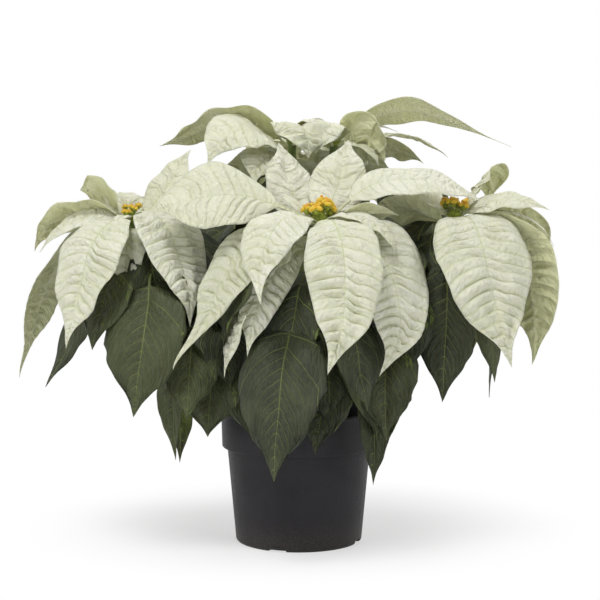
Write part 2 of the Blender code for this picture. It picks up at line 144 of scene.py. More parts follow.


# A blade's place in its table also sets its seed, so new blades go to a table's end.
# A bract's given age is also painted light and shade: low lightens a shaded blade, high darkens a
# brightly lit one.
BRACTS = {
    # head a, at the front
    "bract_a1": bract("a", 128, 48, -66, 10, -65, 44, 7, roll=-12, sharp=0.9, petiole=0.2),
    "bract_a2": bract("a", 64, 46, -64, 28, -72, 48, 2, roll=14, sharp=0.8, petiole=0.17),
    "bract_a3": bract("a", 9, 132, -20, 56, 28, 52, 9, roll=26, belly=0.4, petiole=0.2, arch=0.45,
                      age=0.0),
    "bract_a4": bract("a", -25, 61, 28, 38, 88, 26, 3, roll=10),
    "bract_a5": bract("a", -84, 85, 107, 25, 88, 60, 6, bow=15, sharp=1.05, belly=0.43,
                      tip=(-4, 0, 0), age=0.25),
    "bract_a6": bract("a", -121, 82, 56, 26, 88, 48, 3, bow=-10, roll=-10, tip=(0, -4, -4),
                      age=0.0),
    "bract_a7": bract("a", -174, 133, 2, 32, 42, 66, 5, roll=-48, sharp=1.3, belly=0.42,
                      petiole=0.22, tip=(6, 0, 10), age=0.9),
    "bract_a8": bract("a", -43, 68, 109, 20, 98, 64, 12, bow=24, roll=25, tip=(-7, 0, 2), age=0.0),
    "bract_a9": bract("a", -158, 92, 90, 14, 86, 50, 14, roll=-30, arch=0.45, tip=(-24, 0, -12)),
    "bract_a10": bract("a", -146, 61, 79, 15, 84, 38, 27, roll=-50, age=0.0),
    # head b, on the left
    "bract_b1": bract("b", 33, 50, -57, 30, -50, 36, 3, roll=25, sharp=1.0, petiole=0.15),
    "bract_b2": bract("b", 158, 45, -30, 44, -4, 44, 6, roll=50, sharp=0.8, petiole=0.22, arch=0.5),
    "bract_b3": bract("b", 168, 80, 22, 50, 75, 44, 8, roll=30),
    "bract_b4": bract("b", -122, 74, 92, 34, 85, 62, 8, tip=(-4, 0, 0)),
    "bract_b5": bract("b", -43, 70, 78, 40, 82, 58, 3, roll=10, tip=(-3, 0, -4), age=0.0),
    "bract_b6": bract("b", 159, 100, 117, 30, 80, 58, 14, tip=(-5, 0, -4)),
    "bract_b7": bract("b", 22, 74, -28, 28, -5, 32, 13, roll=-25),
    # head c, on the right
    "bract_c1": bract("c", -60, 69, 107, 28, 85, 84, 6, bow=-12, roll=8, tip=(3, 0, -4), age=0.3),
    "bract_c2": bract("c", -18, 71, -6, 38, 25, 38, 2, roll=22),
    "bract_c3": bract("c", 48, 48, -22, 43, 90, 48, 9, roll=-43, sharp=0.7, petiole=0.22, arch=0.73),
    "bract_c4": bract("c", 14, 80, 22, 30, 85, 36, 12, roll=-50, sharp=0.9),
    "bract_c5": bract("c", -10, 60, 98, 26, 105, 66, 17, roll=-60, arch=0.45, tip=(2, 0, -5)),
    "bract_c6": bract("c", -170, 68, -12, 28, 15, 48, 9, roll=28, belly=0.5),
    # head d, rear left
    "bract_d1": bract("d", 178, 112, 2, 46, 18, 44, 7, roll=38, arch=0.5),
    "bract_d2": bract("d", -140, 88, 6, 44, 62, 62, 20, roll=-28, arch=0.56),
    "bract_d3": bract("d", -70, 36, 12, 62, 85, 54, 8, arch=0.85),
    "bract_d4": bract("d", 82, 80, 72, 5, 70, 44, 18),
    "bract_d5": bract("d", 110, 85, 66, 30, 75, 54, 7),
    "bract_d6": bract("d", 145, 80, 60, 30, 75, 48, 13),
    # head e, rear right
    "bract_e1": bract("e", 6, 146, -2, 46, 22, 38, 5, roll=-35, belly=0.28, sharp=2.3, arch=0.5,
                      tip=(6, 0, -2)),
    "bract_e2": bract("e", -34, 46, 8, 38, 65, 52, 10, roll=-66, sharp=0.75, petiole=0.2, arch=0.55),
    "bract_e3": bract("e", 14, 98, 2, 40, 45, 38, 14),
    "bract_e4": bract("e", 46, 85, 70, 22, 75, 50, 16),
    "bract_e5": bract("e", 80, 80, 60, 30, 75, 54, 6),
    "bract_e6": bract("e", 106, 62, 30, 30, 60, 42, 12),
}

# the leaves that have a solid
GREEN_LEAVES = {
    "leaf_01": green("b", -100, 66, 109, 8, 85, 68, 0.71, bow=12),
    "leaf_02": green("a", -108, 85, 119, 15, 85, 72, 0.50, bow=-3, age=0.1),
    "leaf_03": green("b", -130, 36, 106, 10, 88, 34, 0.42, fold=30),
    "leaf_04": green("b", -108, 46, 73, 0, 80, 56, 0.32),
    "leaf_05": green("b", -146, 54, 50, 2, 70, 44, 0.15),
    "leaf_06": green("c", -108, 80, 68, 10, 80, 54, 0.22),
    "leaf_07": green("c", -84, 60, 108, -10, 88, 30, 0.30, fold=30),
    "leaf_08": green("b", -175, 74, 92, 15, 60, 46, 0.75, roll=-30, tip=(-6, 0, -8)),
    "leaf_09": green("c", -106, 36, 131, 15, 88, 56, 0.88, bow=6),
    "leaf_10": green("c", -104, 34, 97, 5, 85, 28, 0.47, bow=12, tip=(-14, 0, -4)),
    "leaf_11": green("c", -15, 40, 109, 5, 85, 38, 0.75),
    "leaf_12": green("a", -15, 58, 90, 5, 85, 40, 0.68),
    "leaf_13": green("d", 100, 90, 110, 0, 80, 60, 0.60, age=0.9),
    "leaf_14": green("e", 70, 90, 110, 0, 80, 60, 0.60),
    "leaf_15": green("d", -170, 75, 90, 0, 80, 58, 0.75),
    "leaf_16": green("e", -10, 70, 90, 0, 80, 58, 0.75),
}

# the smallest bracts, close around the flowers
SMALL_BRACTS = {
    "small_bract_a1": bract("a", 165, 36, -20, 30, 10, 12, 2, roll=-20),
    "small_bract_a2": bract("a", -158, 74, 92, 0, 85, 34, 30, petiole=0.45),
    "small_bract_a3": bract("a", -150, 50, 40, 0, 60, 40, 14),
    "small_bract_b1": bract("b", -95, 30, 46, 10, 85, 32, 10, sharp=0.8),
    "small_bract_b2": bract("b", 172, 28, -10, 40, 10, 20, 3, roll=-30),
    "small_bract_b3": bract("b", -172, 72, 22, 35, 50, 26, 5, roll=-25),
    "small_bract_c1": bract("c", 12, 24, -24, 50, 20, 18, 2),
    "small_bract_c2": bract("c", -12, 78, 18, 30, 60, 22, 6),
    "small_bract_d1": bract("d", -30, 30, 4, 66, 85, 34, 2, arch=0.85),
    "small_bract_a4": bract("a", 2, 60, -10, 22, 25, 30, 10, roll=-40),
    "small_bract_b4": bract("b", -35, 26, -2, 40, 40, 16, 2),
    "small_bract_b5": bract("b", -110, 24, 4, 45, 60, 14, 3),
    "small_bract_d2": bract("d", -122, 58, 14, 40, 75, 54, 26, roll=-20),
    "small_bract_e3": bract("e", -112, 34, 8, 60, 80, 44, 6, arch=0.8),
    "small_bract_e4": bract("e", -8, 76, 4, 35, 40, 34, 18, roll=-35),
    "small_bract_e1": bract("e", 5, 50, -12, 50, 12, 12, 2, roll=15),
    "small_bract_b6": bract("b", 112, 34, -22, 52, 10, 36, 4, arch=0.6),
    "small_bract_c3": bract("c", 166, 58, -22, 40, 8, 36, 3, roll=-30),
    "small_bract_e2": bract("e", -38, 46, 12, 45, 62, 28, 10),
}

# the leaves that fill the shade between and behind the others
EXTRA_LEAVES = numbered("extra_leaf_{:02d}", (
    green("d", -165, 80, 60, 10, 80, 56, 0.55),
    green("b", -95, 60, 75, 0, 82, 52, 0.45),
    green("b", -125, 20, 70, 5, 85, 36, 0.58),
    green("c", -95, 70, 85, 5, 85, 54, 0.42),
    green("c", -130, 60, 85, 5, 85, 48, 0.55),
    green("a", -60, 70, 85, 5, 85, 50, 0.60),
    green("a", -40, 60, 80, 5, 85, 50, 0.40),
    green("b", -75, 40, 62, 0, 85, 50, 0.72),
    green("d", -140, 92, 84, 5, 70, 66, 0.60),
    green("d", -172, 92, 48, 15, 60, 62, 0.64, roll=-35),
    green("e", -60, 88, 80, 5, 75, 64, 0.55),
    green("e", -100, 80, 85, 0, 80, 60, 0.50),
    green("a", -118, 40, 78, 0, 85, 54, 0.72),
    green("e", -5, 92, 40, 20, 60, 62, 0.62, roll=30),
    green("c", -150, 55, 75, 5, 80, 60, 0.85),
    green("b", -20, 72, 72, 5, 75, 60, 0.85),
    green("b", 10, 80, 45, 25, 60, 60, 0.88, roll=30),
    green("b", -70, 45, 72, 0, 85, 50, 0.30),
    green("b", -50, 55, 62, 8, 80, 56, 0.50),
    green("c", -120, 50, 80, 0, 85, 56, 0.65),
    green("c", -50, 52, 100, 5, 85, 42, 0.80),
    green("d", 150, 90, 70, 10, 75, 62, 0.50),
    green("e", 30, 90, 70, 10, 75, 62, 0.50),
    green("b", 120, 70, 80, 0, 80, 58, 0.60),
    green("c", 60, 70, 80, 0, 80, 58, 0.60),
    green("b", 80, 60, 75, 0, 80, 54, 0.35),
    green("c", 100, 60, 75, 0, 80, 54, 0.35),
    green("a", 130, 60, 60, 5, 80, 54, 0.62),
    green("a", 45, 60, 60, 5, 80, 54, 0.52),
    green("b", -125, 60, 70, 0, 75, 52, 0.78),
    green("c", 170, 45, 20, 20, 60, 44, 0.93, roll=-30),
    green("a", -72, 45, 75, 0, 85, 46, 0.42),
    green("d", -168, 104, 60, 5, 70, 70, 0.55),
    green("b", -60, 34, 56, 5, 80, 50, 0.84),
    green("c", -142, 36, 54, 6, 75, 60, 0.93),
    green("d", -150, 92, 76, 0, 80, 66, 0.62),
    green("a", -166, 74, 96, 0, 85, 60, 0.94),
    green("b", -15, 62, 60, 5, 75, 56, 0.72),
    green("d", -75, 50, 78, 10, 80, 58, 0.86),
    green("e", -80, 46, 50, 10, 75, 50, 0.86),
    green("d", 175, 60, 44, 16, 65, 54, 0.82),
    green("e", 5, 60, 44, 16, 65, 54, 0.82),
    green("d", 105, 50, 50, 10, 75, 54, 0.84),
    green("e", 75, 50, 50, 10, 75, 54, 0.84),
    green("b", 180, 20, 108, 0, 88, 30, 0.40, roll=70),
    green("c", -10, 8, 98, 0, 88, 28, 0.30, roll=-70),
    green("e", -8, 104, 60, 0, 60, 62, 0.80, roll=60),
    green("d", 180, 44, 98, 0, 85, 50, 0.50, roll=-65),
    green("b", 10, 42, 70, -15, 80, 46, 0.70, roll=60),
    green("b", 100, 18, 56, -20, 88, 44, 0.93),
))

# ---- blades: lengths in millimetres ----
FOOT_DEPTH = 1.9         # how far a stalk runs into the skin of its branch
STALK_THICKNESS = 1.7    # in the middle of the stalk
STALK_ROUNDING = 2.2     # half width over which a stalk thins out
GROOVE_HALF_WIDTH = 1.2
TIP_SWING = 2.5          # the most that a tip is bent at random
VEIN_STAGGER = 0.5       # how far one half's veins stand ahead, as a share of their step
VEIN_WANDER = 0.45       # how far a vein strays, as the same share
BAY_DEPTH = 0.045        # depth of the broad bays in an edge, as a share of its width
LEVEL_PUFF = 0.3         # what a level blade keeps of its puffs
LEVEL_VALLEY = 0.35      # what a level blade keeps of the green and the painted shade in its valleys
NARROW_RELIEF = 0.45     # what a narrow blade keeps of its relief
PHASE_STEP = 17.0        # veins between the net patterns of one blade and the next
CHARACTERS = {
    "bract": dict(vein_forward=0.12, crease=0.5, groove=0.6, swell=2.6, ruffle=3.0,
                  lobing=0.012, drip_tip=0.45),
    "leaf": dict(vein_forward=0.75, crease=0.3, groove=0.5, swell=2.6, ruffle=4.6,
                 lobing=0.058, drip_tip=0.42),
}
# rows of a sheet from vein to vein, and columns across it
BRACT_GRID, SMALL_BRACT_GRID, LEAF_GRID, EXTRA_LEAF_GRID = (8, 25), (6, 19), (7, 25), (4, 17)

# ---- seeds of the random shapes ----
PEAT_SEED, STEM_SEED, FLOWER_SEED = 7, 11, 60
BRACT_SEED, LEAF_SEED, SMALL_BRACT_SEED, EXTRA_LEAF_SEED = 100, 200, 300, 400

# ---- flowers: sizes for a flower of size 1, in millimetres ----
RING_FLOWERS = 6
RING_RADIUS = 9.0
MIDDLE_LIFT = 5.2
CUP_RADIUS, CUP_HEIGHT = 2.7, 6.2
MOUTH_HEIGHT = 5.4
LIPS, LIP_TURN = 3, 2.1              # count, and the turn to the next in radians
LIP_RADIUS, LIP_LENGTH = 2.1, 3.2
LIP_OUT, LIP_DOWN = 1.9, 1.5         # where a lip starts, from the middle of the mouth
STAMENS, STAMEN_TURN = 9, 2.4
STAMEN_RADIUS, STAMEN_LENGTH = 0.88, 1.8
STAMEN_SPREAD = 2.1
ORANGE_SHARE = 0.62

# ---- pot and peat ----
DRAIN_DIRECTIONS = (-110.0, -20.0, 70.0, 160.0)
DRAIN_HEIGHT = 3.7
DRAIN_HALF_WIDTHS = (6.4, 8.0)    # fully open up to the first, closed from the second
DRAIN_RADIUS = 52.5
FOOT_RING_INSIDE = 45.5
OUTER_FOOT_RINGS = 33             # rings of the profile from the middle round the foot
CRUMBS = 260
CRUMBS_PER_GRIT = 9

# ---- stage: place and height of the aim in metres, size in metres, power in watts ----
LAMPS = {
    "key_light": ((-0.45, -0.92, 1.95), 0.2, 0.6, 19.0),
    "fill_light": ((1.5, -1.2, 0.8), 0.2, 1.2, 8.5),
    "left_light": ((-1.4, -1.3, 0.35), 0.25, 1.0, 9.0),
    "top_light": ((0.2, 0.4, 1.9), 0.2, 1.2, 7.0),
    "back_light": ((0.4, 1.7, 1.2), 0.25, 1.2, 8.0),
}
FLOOR_HALF_WIDTH = 6000.0            # in millimetres
SHADOW_MIDDLE_Y = 0.06
SHADOW_REACH = (0.27, 0.23)          # along X and Y
AIM = (0.001, 0.0, 0.2004)
HALF_VIEW_AT_A_METRE = 4.0 / 21.0    # half the width that the camera sees a metre away


# ---- small helpers ----
def unit(vectors):
    """Scale vectors to length one."""
    return vectors / np.maximum(np.linalg.norm(vectors, axis=-1, keepdims=True), 1e-12)


def level_at(angle):
    """The level direction at an angle in radians."""
    return np.array([math.cos(angle), math.sin(angle), 0.0])


def heading(azimuth):
    """The level direction at an azimuth in degrees."""
    return level_at(math.radians(azimuth))


def ease(low, high, x):
    """Smooth step: 0 below low, 1 above high, 3 k^2 - 2 k^3 between."""
    k = np.clip((x - low) / (high - low), 0.0, 1.0)
    return k * k * (3.0 - 2.0 * k)


def rising(start, share):
    """From start to 1 as the share goes from 0 to 1."""
    return start + (1.0 - start) * share


def round_angles(sides):
    """Angles of equal steps round a circle, in a row."""
    return np.linspace(0.0, TURN, sides, endpoint=False)[None, :]


def waves(rng, s, t, count, low, high):
    """A smooth random field: the mean of count sines with random headings and phases."""
    total = np.zeros(np.broadcast(s, t).shape)
    for _ in range(count):
        along, across = rng.uniform(low, high), rng.uniform(-1.5, 1.5)
        total = total + np.sin(TURN * (along * s + across * t + rng.uniform()))
    return total / count


def srgb(red, green_part, blue):
    """Linear colour, with alpha, of an 8-bit display colour."""
    parts = np.array([red, green_part, blue]) / 255.0
    linear = np.where(parts <= 0.04045, parts / 12.92, ((parts + 0.055) / 1.055) ** 2.4)
    return (*linear.tolist(), 1.0)


def tilt_to(axis):
    """Rotation matrix that takes +Z to axis."""
    return np.array(Vector((0, 0, 1)).rotation_difference(Vector(axis)).to_matrix())


# ---- surfaces ----
class Surface:
    """Vertices, faces, material index for each face, and attributes for each vertex."""

    def __init__(self):
        self.points, self.faces, self.slots, self.values = [], [], [], {}
        self.count = 0

    def add(self, points, faces, slots, **values):
        """Append one body; slots is a number or one number for each face."""
        self.points.append(points)
        self.faces.append(faces + self.count)
        self.slots.append(np.broadcast_to(slots, (len(faces),)))
        for name, value in values.items():
            self.values.setdefault(name, []).append(np.broadcast_to(value, (len(points),)))
        self.count += len(points)

    def mesh(self, name, materials):
        """Put the surface in a Blender object at the origin, smooth, with its UV map."""
        points = np.concatenate(self.points) * MM
        faces = np.concatenate(self.faces)
        data = bpy.data.meshes.new(name)
        data.vertices.add(len(points))
        data.vertices.foreach_set("co", points.ravel().astype(np.float32))
        data.loops.add(faces.size)
        data.loops.foreach_set("vertex_index", faces.ravel().astype(np.int32))
        data.polygons.add(len(faces))
        starts = np.arange(0, faces.size, faces.shape[1], dtype=np.int32)
        data.polygons.foreach_set("loop_start", starts)
        data.polygons.foreach_set("material_index", np.concatenate(self.slots).astype(np.int32))
        data.update(calc_edges=True)
        data.validate()
        values = {key: np.concatenate(parts) for key, parts in self.values.items()}
        for key, value in values.items():
            layer = data.attributes.new(key, "FLOAT", "POINT")
            layer.data.foreach_set("value", value.astype(np.float32))
        if "u" in values and "v" in values:
            layer = data.uv_layers.new(name="UVMap")
            corner = np.empty(len(data.loops), dtype=np.int32)
            data.loops.foreach_get("vertex_index", corner)
            both = np.stack([values["u"][corner], values["v"][corner]], axis=1)
            layer.data.foreach_set("uv", both.ravel().astype(np.float32))
        data.shade_smooth()
        for material in materials:
            data.materials.append(material)
        obj = bpy.data.objects.new(name, data)
        bpy.context.scene.collection.objects.link(obj)
        return obj


def grid_faces(rows, columns, wrap=False):
    """Quads of a rows by columns grid of vertices; wrap joins the last column to the first."""
    index = np.arange(rows * columns).reshape(rows, columns)
    if wrap:
        index = np.concatenate([index, index[:, :1]], axis=1)
    corners = (index[:-1, :-1], index[1:, :-1], index[1:, 1:], index[:-1, 1:])
    return np.stack([c.ravel() for c in corners], axis=1)


def shell(grid, thickness):
    """Close a sheet: its two faces stand thickness / 2 off the grid along its normals, and a
    strip joins them round the edge. Returns points, faces and the number of faces a side."""
    normal = unit(np.cross(np.gradient(grid, axis=0), np.gradient(grid, axis=1)))
    offset = normal * (thickness / 2.0)
    rows, columns = grid.shape[:2]
    points = np.concatenate([(grid + offset).reshape(-1, 3), (grid - offset).reshape(-1, 3)])
    top = grid_faces(rows, columns)
    index = np.arange(rows * columns).reshape(rows, columns)
    ring = np.concatenate([index[0, :], index[1:, -1], index[-1, -2::-1], index[-2:0:-1, 0]])
    after = np.roll(ring, -1)
    under = rows * columns
    strip = np.stack([ring, after, after + under, ring + under], axis=1)
    faces = np.concatenate([top, top[:, ::-1] + under, strip])
    return points, faces, len(top)


def lathe(radii, heights, sides, wobble=None):
    """Turn a profile about Z. Point (i, j) is (r_i cos a_j, r_i sin a_j, z_i), with
    a_j = 2 pi j / sides, and r is scaled by wobble(a, share) where it is given. The ends
    have a tiny radius, so the poles close."""
    angle = round_angles(sides)
    radius = np.asarray(radii, dtype=float)[:, None] * np.ones_like(angle)
    share = np.linspace(0.0, 1.0, len(radii))[:, None]
    if wobble is not None:
        radius = radius * wobble(angle, share)
    height = np.asarray(heights, dtype=float)[:, None] * np.ones_like(angle)
    grid = np.stack([radius * np.cos(angle), radius * np.sin(angle), height], axis=-1)
    return grid.reshape(-1, 3), closed_tube_faces(len(radii), sides)


def pole_fans(rows, sides):
    """Flat quads that close the first and last ring, folded about a middle line."""
    step = np.arange((sides - 2) // 2)
    low = np.stack([step, step + 1, sides - 2 - step, sides - 1 - step], axis=1)
    return low[:, ::-1], low + (rows - 1) * sides


def closed_tube_faces(rows, sides):
    """Faces of rings joined one to the next, with a fan at both ends."""
    return np.concatenate([grid_faces(rows, sides, wrap=True)[:, ::-1], *pole_fans(rows, sides)])


# ---- the plant's own formulas ----
def cubic(start, first, second, end, shares):
    """Points and unit tangents of q^3 S + 3 q^2 s A + 3 q s^2 B + s^3 E, with q = 1 - s."""
    s = shares[:, None]
    q = 1.0 - s
    points = q**3 * start + 3 * q * q * s * first + 3 * q * s * s * second + s**3 * end
    slopes = q * q * (first - start) + 2 * q * s * (second - first) + s * s * (end - second)
    return points, unit(slopes)


def branch_curve(name, share):
    """Points, tangents and radii along a branch, 0 at the fork and 1 at the head.

    The cubic's handles lie at the bend and straight below the head.
    """
    s = np.atleast_1d(np.asarray(share, dtype=float))
    bend, head = np.array(BENDS[name], dtype=float), HEADS[name]
    points, tangents = cubic(FORK, bend, head - NECKS[name] * UP, head, s)
    return points, tangents, BRANCH_FOOT_RADIUS + (BRANCH_TIP_RADIUS - BRANCH_FOOT_RADIUS) * s


def seat_share(leaf):
    """Where along its branch a leaf sits, from its depth below the head if it has one."""
    if leaf.along_branch is not None:
        return leaf.along_branch
    shares = np.linspace(0.0, 1.0, 400)
    heights = branch_curve(leaf.branch, shares)[0][:, 2]
    return float(shares[np.argmin(np.abs(heights - (HEADS[leaf.branch][2] - leaf.below_head)))])


def seat_of(leaf):
    """Where a leaf's stalk starts: off the skin of its branch by a gap and by what the
    corner of the tilted, rolled foot of the stalk reaches back."""
    points, tangents, radii = branch_curve(leaf.branch, seat_share(leaf))
    level = heading(leaf.azimuth)
    out = unit(level - np.dot(level, tangents[0]) * tangents[0])
    rise, roll = math.radians(leaf.rise), math.radians(leaf.roll)
    side = np.array([-level[1], level[0], 0.0])
    normal = np.cross(level * math.cos(rise) + UP * math.sin(rise), side)
    across = side * math.cos(roll) + normal * math.sin(roll)
    through = normal * math.cos(roll) - side * math.sin(roll)
    reach = (CAD_STALK * abs(np.dot(across, out)) + CAD_BLADE * abs(np.dot(through, out))) / 2.0
    return points[0] + out * (radii[0] + SEAT_GAP + reach)


def midrib(leaf, shares):
    """Points, tangents, side and length of the midrib at equal steps.

    It is a cubic in the upright plane of the leaf's azimuth; both handles are arch
    times the chord long, at the slopes rise and fall, and bow bends them sideways.
    """
    seat, out = seat_of(leaf), heading(leaf.azimuth)
    side = np.array([-out[1], out[0], 0.0])
    tip = seat + leaf.reach * out - leaf.drop * UP
    handle = leaf.arch * np.linalg.norm(tip - seat)
    rise, fall = math.radians(leaf.rise), math.radians(leaf.fall)
    first = seat + handle * (out * math.cos(rise) + UP * math.sin(rise)) + side * leaf.bow
    second = tip - handle * (out * math.cos(fall) - UP * math.sin(fall)) + side * leaf.bow
    ends = (seat, first, second, tip)
    fine = np.linspace(0.0, 1.0, 200)
    steps = np.linalg.norm(np.diff(cubic(*ends, fine)[0], axis=0), axis=1)
    length = np.concatenate([[0.0], np.cumsum(steps)])
    points, tangents = cubic(*ends, np.interp(shares * length[-1], length, fine))
    return points, tangents, side, length[-1]


def half_width(leaf, shares):
    """Half width of stalk and blade: q^a (1 - q)^b beyond the stalk, 1 at q = belly."""
    q = np.clip((shares - leaf.petiole) / (1.0 - leaf.petiole), 0.0, 1.0)
    b = leaf.sharp
    a = b * leaf.belly / (1.0 - leaf.belly)
    peak = leaf.belly**a * (1.0 - leaf.belly) ** b
    blade = leaf.width / 2.0 * q**a * (1.0 - q) ** b / peak
    return np.maximum(blade, np.interp(shares, [0.0, leaf.petiole, 1.0], [1.3, 1.0, 0.2]))


class Finish(NamedTuple):
    """How fine and how lively a kind of blade is, in millimetres where it is a length."""
    rows_per_pleat: int
    columns: int
    thickness: float
    vein_spacing: float
    pleat: float
    vein_forward: float
    crease: float
    groove: float
    swell: float
    ruffle: float
    lobing: float
    drip_tip: float


def hanging(leaf):
    """0 for a blade whose tip lies nearly level, 1 for one that hangs steeply."""
    return float(ease(30.0, 80.0, leaf.fall))


def past_stalk(leaf, s):
    """0 on the stalk, 1 on the blade."""
    return ease(leaf.petiole, leaf.petiole + 0.12, s)


def vein_rows(rng, leaf, finish, length):
    """Shares s along and t across the blade, the count of veins at each point, the pleats.

    Rows of the sheet follow the side veins: row c, 0 to 1, meets the midrib at c and
    sweeps forward by forward * |t| * w / L as it nears the edge, half a vein further on
    one side, and wanders a little. Every rows_per_pleat-th row is a vein.
    """
    pleats = max(4, round(length / finish.vein_spacing))
    c = np.linspace(0.0, 1.0, pleats * finish.rows_per_pleat + 1)[:, None]
    even = np.linspace(-1.0, 1.0, finish.columns)
    t = (np.sign(even) * np.abs(even) ** 1.1)[None, :]
    reach = np.abs(t) * half_width(leaf, c) / length
    sweep = finish.vein_forward * reach * (1.0 + 1.2 * t * t)
    stagger = VEIN_STAGGER / pleats * (t > 0) * ease(0.0, 0.35, np.abs(t))
    slow = waves(rng, c, 0.5 * t, 3, 0.5, 2.0)
    quick = waves(rng, c, 0.25 * t, 4, 2.5, 5.0)
    wander = VEIN_WANDER / pleats * (slow + 0.7 * quick)
    inner = ease(leaf.petiole, leaf.petiole + 0.10, c) * (1.0 - c**8)
    s = np.minimum(c + (sweep + stagger + wander) * inner, 1.0)
    s = np.maximum.accumulate(s, axis=0) * 0.9999 + 0.0001 * c
    return s, t, c * pleats + 0.0 * t, pleats


def edge_width(rng, leaf, finish, s, t):
    """Half width at each point: the blade's own, drawn in before the tip by the drip tip's
    share, times 1 + bays + lobes, which are sines along each edge."""
    q = (s - leaf.petiole) / (1.0 - leaf.petiole)
    drawn_in = 1.0 - finish.drip_tip * ease(0.74, 0.93, q)
    bays = waves(rng, s, np.sign(t), 4, 1.0, 4.0)
    lobes = waves(rng, s, np.sign(t), 4, 5.0, 11.0)
    uneven = BAY_DEPTH * bays + finish.lobing * lobes
    return half_width(leaf, s) * drawn_in * (1.0 + past_stalk(leaf, s) * uneven)


def blade_relief(rng, leaf, finish, rows, width):
    """How far each point of a blade stands off its folded sheet.

    Between two veins the blade puffs up by a random height times sin(pi p^0.62), with p
    from 0 to 1 between the veins, so that a puff is steep on the side of the foot and
    slopes gently to the tip. Sines of random heading add creases and broad swells, the
    midrib lies in a groove, and the edges ruffle with |t|^3. A blade that hangs puffs up
    more than a level one, and a narrow blade has less relief than a wide one.
    """
    s, t, phase, pleats = rows
    index = np.clip(phase.astype(int), 0, pleats) + (pleats + 1) * (t > 0)
    height = (0.5 + 1.0 * rng.uniform(size=2 * pleats + 2))[index]
    lively = rising(0.40, ease(0.10, 0.50, s)) * (1.0 - 0.6 * ease(0.82, 1.0, s))
    lively = lively * rising(LEVEL_PUFF, hanging(leaf))
    lively = lively * np.clip(0.75 + 0.9 * waves(rng, 1.5 * s, t, 5, 1.0, 5.5), 0.1, 1.4)
    outer = ease(0.0, 0.16, np.abs(t)) * (1.0 - 0.9 * np.abs(t) ** 3) * ease(1.0, 9.0, width)
    puff = np.sin(math.pi * (phase % 1.0) ** 0.62) - 0.55
    relief = finish.pleat * np.minimum(height * lively, 1.25) * outer * puff
    crease = waves(rng, 3.0 * s, 2.0 * t, 5, 2.0, 7.0) * waves(rng, s, t, 3, 1.0, 4.0)
    relief = relief + finish.crease * crease * ease(1.0, 8.0, width) * (1.0 - t**4)
    relief = relief - finish.groove * np.exp(-((t * width / GROOVE_HALF_WIDTH) ** 2))
    relief = relief + finish.swell * waves(rng, s, t, 5, 0.8, 3.2) * ease(2.0, 14.0, width)
    ruffle = waves(rng, s, np.sign(t), 3, 1.5, 4.5)
    relief = relief + finish.ruffle * np.abs(t) ** 3 * ruffle * ease(2.0, 16.0, width)
    return relief * past_stalk(leaf, s) * rising(NARROW_RELIEF, ease(20.0, 55.0, leaf.width))


def blade_sheet(leaf, finish, seed):
    """The sheet of one leaf, its thickness, and the values that its materials read.

    A point is P + x A + z N: P is on the midrib, A and N lie across and off the rolled
    blade, and x and z come from the fold, the curl with t^2 and the relief. The foot runs
    a little into the skin of the branch, and the last quarter bends by the tip's own
    offset. Depth says how strongly the valleys show their green and their painted shade,
    and age says how mature the blade is, with painted light and shade where a bract's age
    is given.
    """
    rng = np.random.default_rng(seed)
    fine = np.linspace(0.0, 1.0, 400)
    points, tangents, side, length = midrib(leaf, fine)
    rows = vein_rows(rng, leaf, finish, length)
    s, t, phase, _ = rows
    width = edge_width(rng, leaf, finish, s, t)
    fold, roll = math.radians(leaf.fold), math.radians(leaf.roll)
    x = width * t * math.cos(fold)
    z = width * (np.abs(t) * math.sin(fold) - leaf.curl * t * t)
    z = z + blade_relief(rng, leaf, finish, rows, width)

    def along(values):
        return np.stack([np.interp(s, fine, values[:, k]) for k in range(3)], axis=-1)

    across = unit(side - (tangents @ side)[:, None] * tangents)
    normal = np.cross(tangents, across)
    rolled = across * math.cos(roll) + normal * math.sin(roll)
    upward = normal * math.cos(roll) - across * math.sin(roll)
    random_bend, random_age = rng.uniform(-TIP_SWING, TIP_SWING, size=3), rng.uniform() ** 2
    bend = random_bend if leaf.tip is None else np.array(leaf.tip)
    inward = heading(leaf.azimuth) * FOOT_DEPTH * (1.0 - ease(0.0, 0.035, s))[..., None]
    centre = along(points) + bend * ease(0.70, 1.0, s)[..., None] ** 2 - inward
    grid = centre + along(rolled) * x[..., None] + along(upward) * z[..., None]
    stalk = 1.0 - ease(leaf.petiole * 0.8, leaf.petiole + 0.10, s)
    round_stalk = stalk * np.exp(-((t * width / STALK_ROUNDING) ** 2))
    thickness = finish.thickness + (STALK_THICKNESS - finish.thickness) * round_stalk
    # A given age is partly painted light and shade; a random one is only the blade's age.
    age = random_age if leaf.age is None else leaf.age
    # How strongly the valleys carry their green and their painted shade: fully on a hanging blade,
    # less on a level one.
    depth = rising(LEVEL_VALLEY, hanging(leaf))
    values = {"vein_phase": phase + PHASE_STEP * (seed % 50), "rib": t * width, "along": s,
              "age": np.full_like(s, age), "depth": np.full_like(s, depth),
              "u": 0.5 + 0.5 * t + 0.0 * s, "v": s}
    return grid, thickness[..., None], values


def grow_leaf(piece, leaf, finish, seed, upper, under):
    """One bract or leaf as a closed shell, its upper and its under side in two materials."""
    grid, thickness, values = blade_sheet(leaf, finish, seed)
    points, faces, side_count = shell(grid, thickness)
    slots = np.zeros(len(faces), dtype=int)
    slots[side_count:2 * side_count] = 1
    doubled = {key: np.concatenate([value.ravel()] * 2) for key, value in values.items()}
    surface = Surface()
    surface.add(points, faces, slots, **doubled)
    return surface.mesh(piece, (upper, under))


